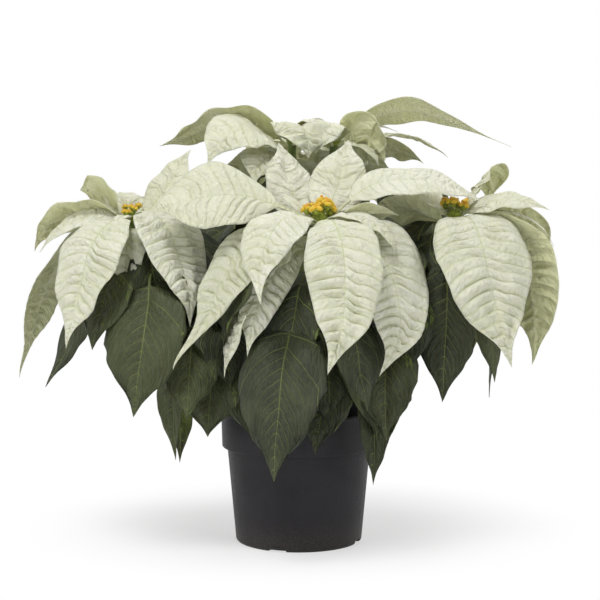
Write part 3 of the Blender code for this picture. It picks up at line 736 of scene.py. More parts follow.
# ---- material building ----
class Tree:
    """Short ways to add and join shader nodes in one tree."""

    def __init__(self, tree):
        self.tree = tree

    def node(self, kind, inputs=None, **settings):
        """Add a node, set its properties, and set or link its inputs."""
        node = self.tree.nodes.new(kind)
        for key, value in settings.items():
            setattr(node, key, value)
        for key, value in (inputs or {}).items():
            self.feed(node.inputs[key], value)
        return node

    def feed(self, socket, value):
        """Link an output to a socket, or set the socket's own value."""
        if isinstance(value, bpy.types.NodeSocket):
            self.tree.links.new(value, socket)
        else:
            socket.default_value = value

    def math(self, operation, a, b=0.0, clamp=False):
        """A Math node's result."""
        node = self.node("ShaderNodeMath", {0: a, 1: b}, operation=operation, use_clamp=clamp)
        return node.outputs[0]

    def times(self, a, b):
        """Two values multiplied."""
        return self.math("MULTIPLY", a, b)

    def ramp(self, value, low, high, start=0.0, end=1.0):
        """Smooth map of value from low..high to start..end."""
        node = self.node("ShaderNodeMapRange", {0: value, 1: low, 2: high, 3: start, 4: end},
                         interpolation_type="SMOOTHSTEP")
        return node.outputs[0]

    def mix(self, share, a, b):
        """Two colours mixed by a share."""
        node = self.node("ShaderNodeMix", data_type="RGBA")
        for index, value in ((0, share), (6, a), (7, b)):
            self.feed(node.inputs[index], value)
        return node.outputs[2]

    def tint(self, colour, other, mask, share):
        """A colour turned to another by a share of a mask."""
        return self.mix(self.times(mask, share), colour, other)

    def noise(self, vector, scale, detail, roughness=0.55):
        """Noise value at a scale per metre."""
        node = self.node("ShaderNodeTexNoise",
                         {"Vector": vector, "Scale": scale, "Detail": detail, "Roughness": roughness})
        return node.outputs[0]

    def attribute(self, name):
        """A vertex value that the mesh carries."""
        return self.node("ShaderNodeAttribute", attribute_name=name).outputs["Fac"]

    def place(self):
        """Object coordinates, in metres."""
        return self.node("ShaderNodeTexCoord").outputs["Object"]


def group(name, inputs, outputs, build):
    """Make a shader node group; inputs maps names to default values, or None for a vector."""
    tree = bpy.data.node_groups.new(name, "ShaderNodeTree")
    for key, default in inputs.items():
        kind = "NodeSocketVector" if default is None else "NodeSocketFloat"
        socket = tree.interface.new_socket(name=key, in_out="INPUT", socket_type=kind)
        if default is not None:
            socket.default_value = default
    for key in outputs:
        tree.interface.new_socket(name=key, in_out="OUTPUT", socket_type="NodeSocketFloat")
    kit = Tree(tree)
    source = tree.nodes.new("NodeGroupInput")
    sink = tree.nodes.new("NodeGroupOutput")
    for key, value in build(kit, source.outputs).items():
        kit.feed(sink.inputs[key], value)
    return tree


def build_vein_group():
    """Masks of the midrib, the side veins, the valleys along them and the fine net between.

    The net is a field of cells laid out along the veins: cells per vein step one way,
    and a cell size in millimetres from the midrib outwards the other way.
    """
    def build(kit, given):
        step = kit.math("PINGPONG", given["Phase"], 0.5)
        from_rib = kit.math("ABSOLUTE", given["Rib distance"])
        thin = kit.times(given["Side vein width"], kit.ramp(from_rib, 2.0, 26.0, 1.0, 0.45))
        side = kit.math("SUBTRACT", 1.0, kit.math("DIVIDE", step, thin), clamp=True)
        rib_width = kit.times(given["Rib width"], kit.ramp(given["Along"], 0.2, 1.0, 1.0, 0.3))
        rib = kit.math("SUBTRACT", 1.0, kit.math("DIVIDE", from_rib, rib_width), clamp=True)
        over = kit.times(given["Phase"], given["Cells per step"])
        out = kit.math("DIVIDE", given["Rib distance"], given["Cell size"])
        place = kit.node("ShaderNodeCombineXYZ", {0: over, 1: out, 2: 0.0}).outputs[0]
        shift = kit.node("ShaderNodeTexNoise", {"Vector": place, "Scale": 0.6}).outputs["Color"]
        place = kit.node("ShaderNodeVectorMath", {0: place, 1: shift}, operation="ADD").outputs[0]
        cells = kit.node("ShaderNodeTexVoronoi", {"Vector": place, "Scale": 1.0, "Randomness": 0.9},
                         feature="DISTANCE_TO_EDGE").outputs["Distance"]
        return {"Rib": kit.ramp(rib, 0.0, 0.6), "Side vein": kit.ramp(side, 0.0, 0.7),
                "Valley": kit.ramp(step, 0.02, 0.24, 1.0, 0.0),
                "Net": kit.ramp(cells, 0.0, 0.14, 1.0, 0.0), "Cushion": kit.ramp(cells, 0.0, 0.42)}

    inputs = {"Phase": 0.0, "Rib distance": 0.0, "Along": 0.0, "Side vein width": 0.08,
              "Rib width": 1.1, "Cells per step": 1.7, "Cell size": 4.0}
    return group("leaf_veins", inputs, ("Rib", "Side vein", "Valley", "Net", "Cushion"), build)


def build_mottle_group():
    """Two sizes of soft unevenness, from 0 to 1."""
    def build(kit, given):
        broad = kit.noise(given["Vector"], given["Broad scale"], 2.0)
        fine = kit.noise(given["Vector"], given["Fine scale"], 4.0, 0.65)
        return {"Broad": kit.ramp(broad, 0.35, 0.65), "Fine": kit.ramp(fine, 0.3, 0.7)}

    inputs = {"Vector": None, "Broad scale": 30.0, "Fine scale": 400.0}
    return group("mottle", inputs, ("Broad", "Fine"), build)


def start_material(name, **sockets):
    """A material, its node kit and its Principled shader, with plain socket values set."""
    material = bpy.data.materials.new(name)
    material.use_nodes = True
    shader = material.node_tree.nodes["Principled BSDF"]
    for key, value in sockets.items():
        shader.inputs[key.replace("_", " ")].default_value = value
    return material, Tree(material.node_tree), shader


def vein_masks(kit, **values):
    """Place the vein group, built at its first use, on the leaf's own attributes."""
    veins = bpy.data.node_groups.get("leaf_veins") or build_vein_group()
    inputs = {"Phase": kit.attribute("vein_phase"), "Rib distance": kit.attribute("rib"),
              "Along": kit.attribute("along")}
    inputs.update({key.replace("_", " "): value for key, value in values.items()})
    return kit.node("ShaderNodeGroup", inputs, node_tree=veins).outputs


def mottle_masks(kit, broad, fine):
    """Place the mottle group, built at its first use, on object coordinates."""
    mottle = bpy.data.node_groups.get("mottle") or build_mottle_group()
    inputs = {"Vector": kit.place(), "Broad scale": broad, "Fine scale": fine}
    return kit.node("ShaderNodeGroup", inputs, node_tree=mottle).outputs


def bump(kit, shader, height, strength, distance):
    """Drive the shader's normal from a height."""
    node = kit.node("ShaderNodeBump",
                    {"Strength": strength, "Distance": distance, "Height": height})
    kit.feed(shader.inputs["Normal"], node.outputs["Normal"])


def rough_between(kit, shader, soft, low, high):
    """Roughness from low to high with the fine mottle."""
    kit.feed(shader.inputs["Roughness"], kit.ramp(soft["Fine"], 0.0, 1.0, low, high))


def crumple(kit, shader, vein, soft, cushion, side_vein, strength):
    """Fine relief of a blade: cushions between the net, crumple, and sunk side veins."""
    height = kit.math("ADD", kit.times(vein["Cushion"], cushion), kit.times(soft["Fine"], 0.4))
    height = kit.math("SUBTRACT", height, kit.times(vein["Side vein"], side_vein))
    bump(kit, shader, height, strength, 0.0009)


def bract_material(name, body, shade, green_and_valley_shade, rib, foot_green):
    """Creamy bract skin: mottled body, darker with age and on some blades painted light and
    shade, greener foot and rib, valleys of green and painted shade, a fine net darkened
    partly by painted shade in its creases, crumpled fine relief.
    """
    material, kit, shader = start_material(
        name, Subsurface_Weight=0.18, Subsurface_Scale=0.002, Specular_IOR_Level=0.3,
        Sheen_Weight=0.08, Sheen_Roughness=0.5)
    shader.inputs["Subsurface Radius"].default_value = (1.0, 1.0, 0.55)
    vein = vein_masks(kit, Side_vein_width=0.08, Rib_width=1.0, Cells_per_step=1.9, Cell_size=6.0)
    soft = mottle_masks(kit, 38.0, 420.0)
    along = kit.attribute("along")
    # Painted light and shade: age turns the colour towards its shade, and a given age paints a shaded
    # bract lighter or a brightly lit one darker.
    colour = kit.tint(body, shade, kit.attribute("age"), 0.55)
    colour = kit.tint(colour, shade, soft["Broad"], 0.6)
    colour = kit.tint(colour, shade, soft["Fine"], 0.20)
    colour = kit.tint(colour, green_and_valley_shade, kit.ramp(along, 0.02, foot_green, 1.0, 0.0), 0.75)
    # Painted shade: the valleys along the side veins turn greener and darker, partly the veins' own
    # green and partly shade painted into the creases.
    valley_green_and_shade = kit.times(vein["Valley"], kit.attribute("depth"))
    colour = kit.tint(colour, green_and_valley_shade, valley_green_and_shade, 0.34)
    colour = kit.tint(colour, rib, vein["Rib"], kit.ramp(along, 0.0, 1.0, 0.70, 0.25))
    # Painted shade: the fine net turns darker, partly its own fine veins and partly shade painted
    # into the creases between its cushions.
    colour = kit.tint(colour, shade, vein["Net"], 0.16)
    kit.feed(shader.inputs["Base Color"], colour)
    rough_between(kit, shader, soft, 0.50, 0.64)
    crumple(kit, shader, vein, soft, 1.0, 0.5, 0.8)
    return material


def leaf_material(name, body, shade, vein_colour, side_share, roughness):
    """Green leaf skin: dark mottled body, pale midrib and side veins, satin sheen."""
    material, kit, shader = start_material(
        name, Subsurface_Weight=0.04, Subsurface_Scale=0.002, Specular_IOR_Level=0.32,
        Sheen_Weight=0.06, Sheen_Roughness=0.45)
    shader.inputs["Sheen Tint"].default_value = (0.75, 0.85, 1.0, 1.0)
    vein = vein_masks(kit, Side_vein_width=0.06, Rib_width=0.9, Cells_per_step=2.6, Cell_size=3.2)
    soft = mottle_masks(kit, 34.0, 450.0)
    colour = kit.mix(soft["Broad"], body, shade)
    masks = ((kit.attribute("age"), 0.22), (vein["Net"], 0.10), (vein["Side vein"], side_share),
             (vein["Rib"], 0.85))
    for mask, share in masks:
        colour = kit.tint(colour, vein_colour, mask, share)
    stalk = kit.ramp(kit.attribute("along"), 0.16, 0.30, 0.8, 0.0)
    colour = kit.mix(stalk, colour, vein_colour)
    kit.feed(shader.inputs["Base Color"], colour)
    rough_between(kit, shader, soft, roughness - 0.06, roughness + 0.08)
    crumple(kit, shader, vein, soft, 0.7, 1.0, 0.6)
    return material


def skin_material(context, name, key, roughness, broad, fine=700.0, depth=0.0004, share=0.8,
                  **sockets):
    """A mottled skin in a colour setting and its shade, with a fine relief, for stem, flowers
    and peat."""
    colours = context.scene.poinsettia_colours
    light, dark = getattr(colours, key), getattr(colours, key + "_shade")
    material, kit, shader = start_material(name, **sockets)
    soft = mottle_masks(kit, broad, fine)
    colour = kit.tint(light, dark, soft["Broad"], share)
    colour = kit.tint(colour, dark, soft["Fine"], 0.5 * share)
    kit.feed(shader.inputs["Base Color"], colour)
    rough_between(kit, shader, soft, roughness - 0.08, roughness + 0.08)
    bump(kit, shader, soft["Fine"], 0.7, depth)
    return material


def pot_material(name, light, dark, dust_colour):
    """Moulded charcoal plastic: satin, faint streaks of flow, dust towards the foot."""
    material, kit, shader = start_material(name, Specular_IOR_Level=0.2)
    place = kit.place()
    soft = mottle_masks(kit, 22.0, 900.0)
    stretched = kit.node("ShaderNodeMapping", {"Vector": place, "Scale": (1.0, 1.0, 0.08)})
    streak = kit.noise(stretched.outputs[0], 160.0, 3.0)
    colour = kit.tint(dark, light, soft["Broad"], 0.6)
    colour = kit.mix(kit.ramp(streak, 0.45, 0.75, 0.0, 0.35), colour, light)
    height = kit.node("ShaderNodeSeparateXYZ", {0: place}).outputs["Z"]
    dust = kit.ramp(height, 0.0, 0.03, 0.22, 0.0)
    colour = kit.tint(colour, dust_colour, dust, soft["Fine"])
    kit.feed(shader.inputs["Base Color"], colour)
    worn = kit.math("ADD", kit.times(streak, 0.5), kit.times(soft["Fine"], 0.5))
    kit.feed(shader.inputs["Roughness"], kit.ramp(worn, 0.2, 0.8, 0.44, 0.60))
    grain = kit.math("ADD", soft["Fine"], kit.times(streak, 0.4))
    bump(kit, shader, grain, 0.25, 0.0003)
    return material


# ---- settings a user would change ----
def colour_property(name, description, *display):
    """A colour setting; its default is given as red, green and blue of an 8-bit display."""
    return bpy.props.FloatVectorProperty(name=name, description=description, subtype="COLOR",
                                         size=4, min=0.0, max=1.0, default=srgb(*display))


def length_property(name, description, value):
    """A length setting, in metres, with its default."""
    return bpy.props.FloatProperty(name=name, description=description, default=value,
                                   unit="LENGTH")


class PoinsettiaSizes(bpy.types.PropertyGroup):
    """Sizes of the blades' relief and of the camera's place."""
    bract_thickness: length_property("Bract thickness", "Thickness of a bract's blade", 0.35 * MM)
    bract_pleat: length_property(
        "Bract pleat", "How far a bract puffs up between its veins", 4.2 * MM)
    bract_vein_spacing: length_property(
        "Bract vein spacing", "Step between side veins along a bract", 8.4 * MM)
    leaf_thickness: length_property(
        "Leaf thickness", "Thickness of a green leaf's blade", 0.4 * MM)
    leaf_pleat: length_property(
        "Leaf pleat", "How far a green leaf puffs up between its veins", 0.9 * MM)
    leaf_vein_spacing: length_property(
        "Leaf vein spacing", "Step between side veins along a green leaf", 8.6 * MM)
    camera_distance: length_property(
        "Camera distance", "Distance of the camera in front of the pot's middle", 1.3)
    camera_height: length_property("Camera height", "Height of the camera above the floor", 0.3)
    camera_angle: bpy.props.FloatProperty(
        name="Field of view", description="Width of the camera's view as an angle",
        default=2.0 * math.atan(HALF_VIEW_AT_A_METRE), subtype="ANGLE")


class PoinsettiaColours(bpy.types.PropertyGroup):
    """Colours of the plant, the pot and the studio."""
    bract_body: colour_property("Bract", "Upper side of a bract", 232, 231, 212)
    bract_shade: colour_property("Bract shade", "Darker patches of a bract", 213, 214, 184)
    # Also the tint of a bract's valleys, partly their own green and partly painted shade.
    bract_green_and_valley_shade: colour_property("Bract foot", "Greener foot and rib of a bract", 196, 204, 148)
    # The underside colours are paler than the underside itself: painted light for the light that
    # shines through a bract from above.
    under_body_with_painted_glow: colour_property("Bract underside", "Under side of a bract", 224, 225, 190)
    under_shade_with_painted_glow: colour_property("Bract underside shade", "Darker under side", 208, 210, 164)
    leaf_body: colour_property("Leaf", "Upper side of a green leaf", 56, 62, 42)
    leaf_shade: colour_property("Leaf shade", "Darker patches of a green leaf", 40, 46, 31)
    leaf_vein: colour_property("Leaf vein", "Veins and stalk of a green leaf", 112, 120, 66)
    leaf_under: colour_property("Leaf underside", "Under side of a green leaf", 112, 130, 62)
    stem: colour_property("Stem", "Green skin of the branches", 112, 130, 62)
    stem_shade: colour_property("Stem shade", "Darker patches of the branches", 84, 100, 48)
    bark: colour_property("Bark", "Woody skin of the trunk", 116, 104, 66)
    bark_shade: colour_property("Bark shade", "Darker patches of the trunk", 78, 66, 44)
    cup: colour_property("Flower cup", "Green cups of the true flowers", 166, 176, 58)
    cup_shade: colour_property("Flower cup shade", "Darker patches of a cup", 110, 126, 36)
    gland: colour_property("Gland", "Yellow lips of the flower cups", 246, 214, 64)
    gland_shade: colour_property("Gland shade", "Darker patches of a lip", 232, 180, 36)
    stamen: colour_property("Stamens", "Orange stamens", 252, 196, 58)
    stamen_shade: colour_property("Stamen shade", "Darker patches of a stamen", 240, 158, 34)
    pot: colour_property("Pot", "Charcoal plastic of the pot", 33, 31, 34)
    pot_light: colour_property("Pot streaks", "Paler streaks of the plastic", 43, 41, 44)
    dust: colour_property("Dust", "Dust round the foot of the pot", 120, 112, 100)
    peat: colour_property("Peat", "Dry peat on top of the root ball", 74, 56, 42)
    peat_shade: colour_property("Peat shade", "Damp patches of the peat", 38, 28, 22)
    grit: colour_property("Grit", "Pale grains in the peat", 206, 200, 186)
    grit_shade: colour_property("Grit shade", "Darker side of the grains", 160, 150, 132)
    floor: colour_property("Floor", "Plain pale floor", 240, 240, 240)
    floor_shade: colour_property("Floor grain", "Faint grain of the floor", 214, 214, 214)


# ---- operators ----
def finished(piece, slot, *nodes):
    """Tie a finished piece to the frame: it rides on the root and stands for CAD nodes."""
    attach(piece, "root")
    if nodes:
        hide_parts(*nodes)


def bract_skins(context):
    """Upper and under material of the bracts, made once."""
    made = bpy.data.materials
    if made.get("bract_upper") is None:
        colours = context.scene.poinsettia_colours
        bract_material("bract_upper", colours.bract_body, colours.bract_shade,
                       colours.bract_green_and_valley_shade, colours.bract_green_and_valley_shade, 0.20)
        # The under side is painted paler, standing for light that shines through from above.
        bract_material("bract_under", colours.under_body_with_painted_glow, colours.under_shade_with_painted_glow,
                       colours.bract_green_and_valley_shade, colours.bract_body, 0.35)
    return made["bract_upper"], made["bract_under"]


def grow_all(leaves, finish, first_seed, skins, slot, prefix=""):
    """Grow a table of leaves; with a prefix to their names they stand for CAD nodes."""
    for seed, (name, leaf) in enumerate(leaves.items(), first_seed):
        piece = grow_leaf(prefix + name, leaf, finish, seed, *skins)
        solids = [name] if prefix else []
        finished(piece, slot, *solids)


def finish_of(context, kind, grid):
    """The finish of a kind of blade, in millimetres, on a grid of rows per pleat and columns."""
    lengths = {key: getattr(context.scene.poinsettia_sizes, f"{kind}_{key}") / MM
               for key in ("thickness", "vein_spacing", "pleat")}
    return Finish(*grid, **lengths, **CHARACTERS[kind])


class POINSETTIA_OT_bracts(bpy.types.Operator):
    """Grow the white bracts that stand for the frame's bracts"""
    bl_idname = "poinsettia.bracts"
    bl_label = "Grow the bracts"

    def execute(self, context):
        finish = finish_of(context, "bract", BRACT_GRID)
        grow_all(BRACTS, finish, BRACT_SEED, bract_skins(context), "white_bract", "white_")
        return {"FINISHED"}


class POINSETTIA_OT_small_bracts(bpy.types.Operator):
    """Grow the small bracts close around the flowers"""
    bl_idname = "poinsettia.small_bracts"
    bl_label = "Grow the small bracts"

    def execute(self, context):
        finish = finish_of(context, "bract", SMALL_BRACT_GRID)
        grow_all(SMALL_BRACTS, finish, SMALL_BRACT_SEED, bract_skins(context), "white_bract")
        return {"FINISHED"}


class POINSETTIA_OT_leaves(bpy.types.Operator):
    """Grow the green leaves, and the plainer ones that fill the shade behind them"""
    bl_idname = "poinsettia.leaves"
    bl_label = "Grow the green leaves"

    def execute(self, context):
        colours = context.scene.poinsettia_colours
        skins = (leaf_material("leaf_upper", colours.leaf_body, colours.leaf_shade,
                               colours.leaf_vein, 0.80, 0.50),
                 leaf_material("leaf_under", colours.leaf_under, colours.leaf_body,
                               colours.leaf_vein, 0.75, 0.62))
        finish = finish_of(context, "leaf", LEAF_GRID)
        grow_all(GREEN_LEAVES, finish, LEAF_SEED, skins, "green_leaf", "green_")
        finish = finish_of(context, "leaf", EXTRA_LEAF_GRID)
        grow_all(EXTRA_LEAVES, finish, EXTRA_LEAF_SEED, skins, "green_leaf")
        return {"FINISHED"}


def tube(surface, points, tangents, radii, sides, slot):
    """Carry rings of the given radii along a path: each point is P + r (A cos a + B sin a),
    with A and B square to the path's tangent. Both ends are closed."""
    angle = round_angles(sides)[..., None]
    across = unit(np.cross(tangents, np.array([0.35, 1.0, 0.0])))
    up = np.cross(tangents, across)
    ring = across[:, None] * np.cos(angle) + up[:, None] * np.sin(angle)
    grid = points[:, None] + ring * radii[..., None]
    surface.add(grid.reshape(-1, 3), closed_tube_faces(len(points), sides), slot)


def branch_radii(name, shares, radii, sides, rng):
    """Ring radii of a branch: its taper, a bell exp(-d^2) at each leaf's seat, and shallow
    ridges, the sine of five times the angle with finer sines."""
    shares, angle = shares[:, None], round_angles(sides)
    every = {**BRACTS, **GREEN_LEAVES}
    seats = np.array([seat_share(leaf) for leaf in every.values() if leaf.branch == name])
    knots = np.exp(-(((shares - seats[None, :]) / 0.012) ** 2)).sum(axis=1)
    ridges = 0.10 * np.sin(5.0 * angle + 3.0 * shares) + 0.06 * waves(rng, shares, angle, 3, 4, 12)
    return radii[:, None] + 0.30 * np.minimum(knots, 1.5)[:, None] + ridges


def add_branches(surface, sides=20):
    """The green skin of the five branches."""
    rng = np.random.default_rng(STEM_SEED)
    shares = np.linspace(0.0, 1.0, 90)
    for name in BENDS:
        points, tangents, radii = branch_curve(name, shares)
        radii = branch_radii(name, shares, radii, sides, rng)
        tube(surface, points, tangents, radii, sides, 0)


def add_trunk(surface, sides=24):
    """The woody trunk: its middle eases from the pot's axis over to the fork, its radius
    swells in a bell there, and times sqrt((fork + 5.6 - z) / 6) it closes in a dome. The
    bark's ridges are the sine of seven times the angle."""
    fork = FORK[2]
    heights = np.concatenate([np.linspace(STEM_FOOT, fork + 2.0, 60), fork + np.array([4.0, 5.2])])
    lean = ease(PEAT_LEVEL + 2.0, fork - 5.0, heights)[:, None]
    points = np.concatenate([FORK[None, :2] * lean, heights[:, None]], axis=1)
    swell = 0.8 * np.exp(-(((heights - fork) / 6.0) ** 2)) + 0.25 * np.sin(0.55 * heights)
    dome = np.sqrt(np.clip((fork + 5.6 - heights) / 6.0, 0.05, 1.0))
    radii = (TRUNK_RADIUS + swell) * dome
    bark = 0.18 * np.sin(7.0 * round_angles(sides) + 0.08 * heights[:, None])
    tube(surface, points, np.tile(UP, (len(heights), 1)), radii[:, None] + bark, sides, 1)


class POINSETTIA_OT_stem(bpy.types.Operator):
    """Grow the skin of the trunk and the five branches"""
    bl_idname = "poinsettia.stem"
    bl_label = "Grow the stem"

    def execute(self, context):
        surface = Surface()
        add_branches(surface)
        add_trunk(surface)
        skin = skin_material(context, "stem_skin", "stem", 0.5, broad=90.0)
        bark = skin_material(context, "trunk_skin", "bark", 0.7, broad=120.0, fine=900.0,
                             depth=0.0008)
        finished(surface.mesh("stem_skin", (skin, bark)), "stem_skin", "stem")
        return {"FINISHED"}


def add_pod(surface, centre, axis, profile, sides, slot, wobble=None):
    """A turned body stood on a point and tilted along an axis."""
    points, faces = lathe(*profile, sides, wobble)
    surface.add(points @ tilt_to(axis).T + centre, faces, slot)


def egg(radius, height, steps):
    """Radii and heights of an egg: r = R sin(pi u)^0.65 (1.12 - 0.24 u) and
    z = H (1 - cos(pi u)) / 2, with u from 0 to 1, fuller below."""
    u = np.linspace(0.02, 0.98, steps)
    radii = radius * np.sin(math.pi * u) ** 0.65 * (1.12 - 0.24 * u)
    return radii, height * (1.0 - np.cos(math.pi * u)) / 2.0


def add_lips(surface, mouth, lean, turn, size, rng):
    """Yellow lips round the mouth of a flower cup, from a random side."""
    first = rng.uniform(0.0, TURN)
    for k in range(LIPS):
        side = turn @ level_at(first + LIP_TURN * k)
        place = mouth + side * LIP_OUT * size - lean * LIP_DOWN * size
        profile = egg(LIP_RADIUS * size, LIP_LENGTH * size, 8)
        add_pod(surface, place, unit(lean + 0.7 * side), profile, 10, 1,
                lambda a, u: 1.0 + 0.30 * np.cos(2.0 * a))


def add_stamens(surface, mouth, lean, turn, size, rng):
    """Stamens over the mouth of a cup, most orange, some yellow, on a sunflower's spiral:
    the k-th one lies spread * sqrt((k + 0.4) / n) from the middle."""
    for k in range(STAMENS):
        off = STAMEN_SPREAD * size * math.sqrt((k + 0.4) / STAMENS)
        side = turn @ (level_at(STAMEN_TURN * k) * off)
        place = mouth + side + lean * (rng.uniform(0.2, 2.3) * size - 0.6)
        slot = 2 if rng.uniform() < ORANGE_SHARE else 1
        profile = egg(STAMEN_RADIUS * size, STAMEN_LENGTH * size, 6)
        add_pod(surface, place, unit(lean + 0.12 * side), profile, 8, slot,
                lambda a, u: 1.0 + 0.22 * np.cos(2.0 * a))


def add_flower(surface, foot, lean, size, rng):
    """One true flower: a ribbed green cup, yellow lips round its mouth, stamens on top."""
    lean = unit(lean)
    add_pod(surface, foot, lean, egg(CUP_RADIUS * size, CUP_HEIGHT * size, 12), 16, 0,
            lambda a, u: 1.0 + 0.05 * np.cos(5.0 * a) * (1 - u))
    mouth = foot + lean * MOUTH_HEIGHT * size
    turn = tilt_to(lean)
    add_lips(surface, mouth, lean, turn, size, rng)
    add_stamens(surface, mouth, lean, turn, size, rng)


def add_cluster(surface, head, scale, rng):
    """A head's flowers: a ring of them on short stalks and one in the middle, over a green
    hub. Its collar widens from the branch, with radius 2.6 + 5.4 u^1.5 (1 - 0.45 u^12) at
    height 9.5 u."""
    add_pod(surface, head - 0.6 * UP, UP, egg(4.6, 5.2, 12), 20, 0)
    u = np.linspace(0.0, 1.0, 9)
    collar = (2.6 + 5.4 * u**1.5 * (1.0 - 0.45 * u**12), 9.5 * u)
    add_pod(surface, head - 8.0 * UP, UP, collar, 20, 0)
    spread = RING_RADIUS * scale
    for k in range(RING_FLOWERS):
        out = heading(60.0 * k + 15.0 + rng.uniform(-9.0, 9.0))
        lift = rng.uniform(1.4, 7.4)
        foot = head + out * spread * rng.uniform(0.80, 1.0) + lift * UP
        add_flower(surface, foot, UP + 0.35 * out, scale * rng.uniform(0.85, 1.1), rng)
        share = np.linspace(0.0, 1.0, 6)[:, None]
        path = head + out * spread * 0.85 * share + UP * (1.0 + (lift - 0.6) * share)
        tube(surface, path, unit(np.gradient(path, axis=0)), np.full((6, 8), 0.9), 8, 0)
    add_flower(surface, head + MIDDLE_LIFT * UP, np.array([0.05, -0.1, 1.0]), scale, rng)


class POINSETTIA_OT_flowers(bpy.types.Operator):
    """Set the clusters of small true flowers in the middle of each head, each on its collar"""
    bl_idname = "poinsettia.flowers"
    bl_label = "Set the flowers"

    def execute(self, context):
        skins = (skin_material(context, "cup_green", "cup", 0.42, broad=260.0, fine=1500.0),
                 skin_material(context, "gland_yellow", "gland", 0.35, broad=400.0, fine=2000.0,
                               share=0.5),
                 skin_material(context, "stamen_orange", "stamen", 0.5, broad=500.0, fine=2500.0,
                               share=0.6))
        for seed, (name, head) in enumerate(HEADS.items(), FLOWER_SEED):
            surface = Surface()
            add_cluster(surface, head, FLOWER_SCALE[name], np.random.default_rng(seed))
            finished(surface.mesh("flowers_" + name, skins), "flower_cups", "cyathia_" + name)
        return {"FINISHED"}


def pot_profile():
    """Half section of the pot from the middle of its underside round to the inside floor.

    The body tapers, the collar steps out above it, the rim is rolled and the foot round.
    """
    def arc(r, z, radius, start, end, steps):
        a = np.radians(np.linspace(start, end, steps))
        return np.stack([r + radius * np.cos(a), z + radius * np.sin(a)], axis=1)

    def line(r0, z0, r1, z1, steps):
        return np.stack([np.linspace(r0, r1, steps), np.linspace(z0, z1, steps)], axis=1)

    rim, top = POT_RIM_RADIUS, POT_HEIGHT
    parts = [
        # underside, foot and its round edge
        line(0.4, 0.0, 44.0, 0.0, 8), line(44.6, 0.0, 48.8, 0.0, 8), arc(49.5, 3.0, 3.0, -85, 0, 9),
        # tapered body, and the step out to the collar
        line(52.55, 3.6, 59.3, 77.6, 40), arc(60.1, 78.3, 0.8, 180, 110, 4),
        arc(62.6, 80.2, 1.1, -75, 0, 5),
        # collar and rolled rim
        line(63.75, 81.5, 64.4, top - 7.0, 14), line(64.45, top - 6.2, 64.5, top - 4.2, 3),
        arc(rim - 1.5, top - 1.5, 1.5, -30, 190, 14),
        # inside, down to the middle of the floor
        line(rim - 3.1, top - 3.0, 61.6, 84.0, 12), line(60.6, 82.2, 58.3, 80.4, 4),
        line(58.1, 78.0, 51.6, 5.0, 10), line(49.0, 1.9, 0.4, 1.8, 4),
    ]
    return np.concatenate(parts)


def raise_drains(points, sides):
    """Leave drain slots: lift the outside of the pot's foot to height * slot, where slot
    is 1 within the first half width of a drain's direction and eases to 0 at the second."""
    radius = np.hypot(points[:, 0], points[:, 1])
    azimuth = np.degrees(np.arctan2(points[:, 1], points[:, 0]))
    turned = azimuth[:, None] - np.array(DRAIN_DIRECTIONS)[None, :]
    off = np.abs((turned + 180.0) % 360.0 - 180.0).min(axis=1)
    slot = 1.0 - ease(*DRAIN_HALF_WIDTHS, np.radians(off) * DRAIN_RADIUS)
    outside = np.arange(len(points)) < OUTER_FOOT_RINGS * sides
    foot = outside & (points[:, 2] < DRAIN_HEIGHT) & (radius > FOOT_RING_INSIDE)
    points[:, 2] = np.maximum(points[:, 2], np.where(foot, DRAIN_HEIGHT * slot, 0.0))


class POINSETTIA_OT_pot(bpy.types.Operator):
    """Turn the pot, with its collar, rolled rim and four drain slots in the foot"""
    bl_idname = "poinsettia.pot"
    bl_label = "Turn the pot"

    def execute(self, context):
        colours = context.scene.poinsettia_colours
        profile = pot_profile()
        sides = 256
        points, faces = lathe(profile[:, 0], profile[:, 1], sides)
        raise_drains(points, sides)
        surface = Surface()
        surface.add(points, faces, 0)
        plastic = pot_material("pot_plastic", colours.pot_light, colours.pot, colours.dust)
        finished(surface.mesh("moulded_pot", (plastic,)), "pot_plastic", "pot")
        return {"FINISHED"}


def add_peat(surface, rng):
    """The root ball, in rings (r cos a, r sin a, z): on top z is level plus lumps of sines
    that fade at the edge, and the side and underside follow the inside of the pot."""
    sides = 180
    angle = round_angles(sides)
    ring = np.linspace(0.4, 60.6, 66)[:, None]
    x, y = ring * np.cos(angle), ring * np.sin(angle)
    broad = waves(rng, x / 18.0, y / 9.0, 5, 0.6, 1.6)
    small = waves(rng, x / 5.0, y / 3.0, 6, 0.6, 1.8)
    lumps = 1.1 * broad + 0.8 * small
    top = PEAT_LEVEL - 0.4 + lumps * ease(0.0, 1.0, (61.5 - ring) / 6.0)
    side_r = np.array([60.9, 60.6, 57.6, 51.0, 48.0, 0.4])[:, None]
    side_z = np.array([PEAT_LEVEL - 3.0, 85.0, 78.0, 6.0, 2.2, 2.2])[:, None]
    even = np.ones_like(angle)
    radius = np.concatenate([np.hypot(x, y), side_r * even])
    height = np.concatenate([top, side_z * even])
    grid = np.stack([radius * np.cos(angle), radius * np.sin(angle), height], axis=-1)
    faces = closed_tube_faces(len(grid), sides)[:, ::-1]
    surface.add(grid.reshape(-1, 3), faces, 0)


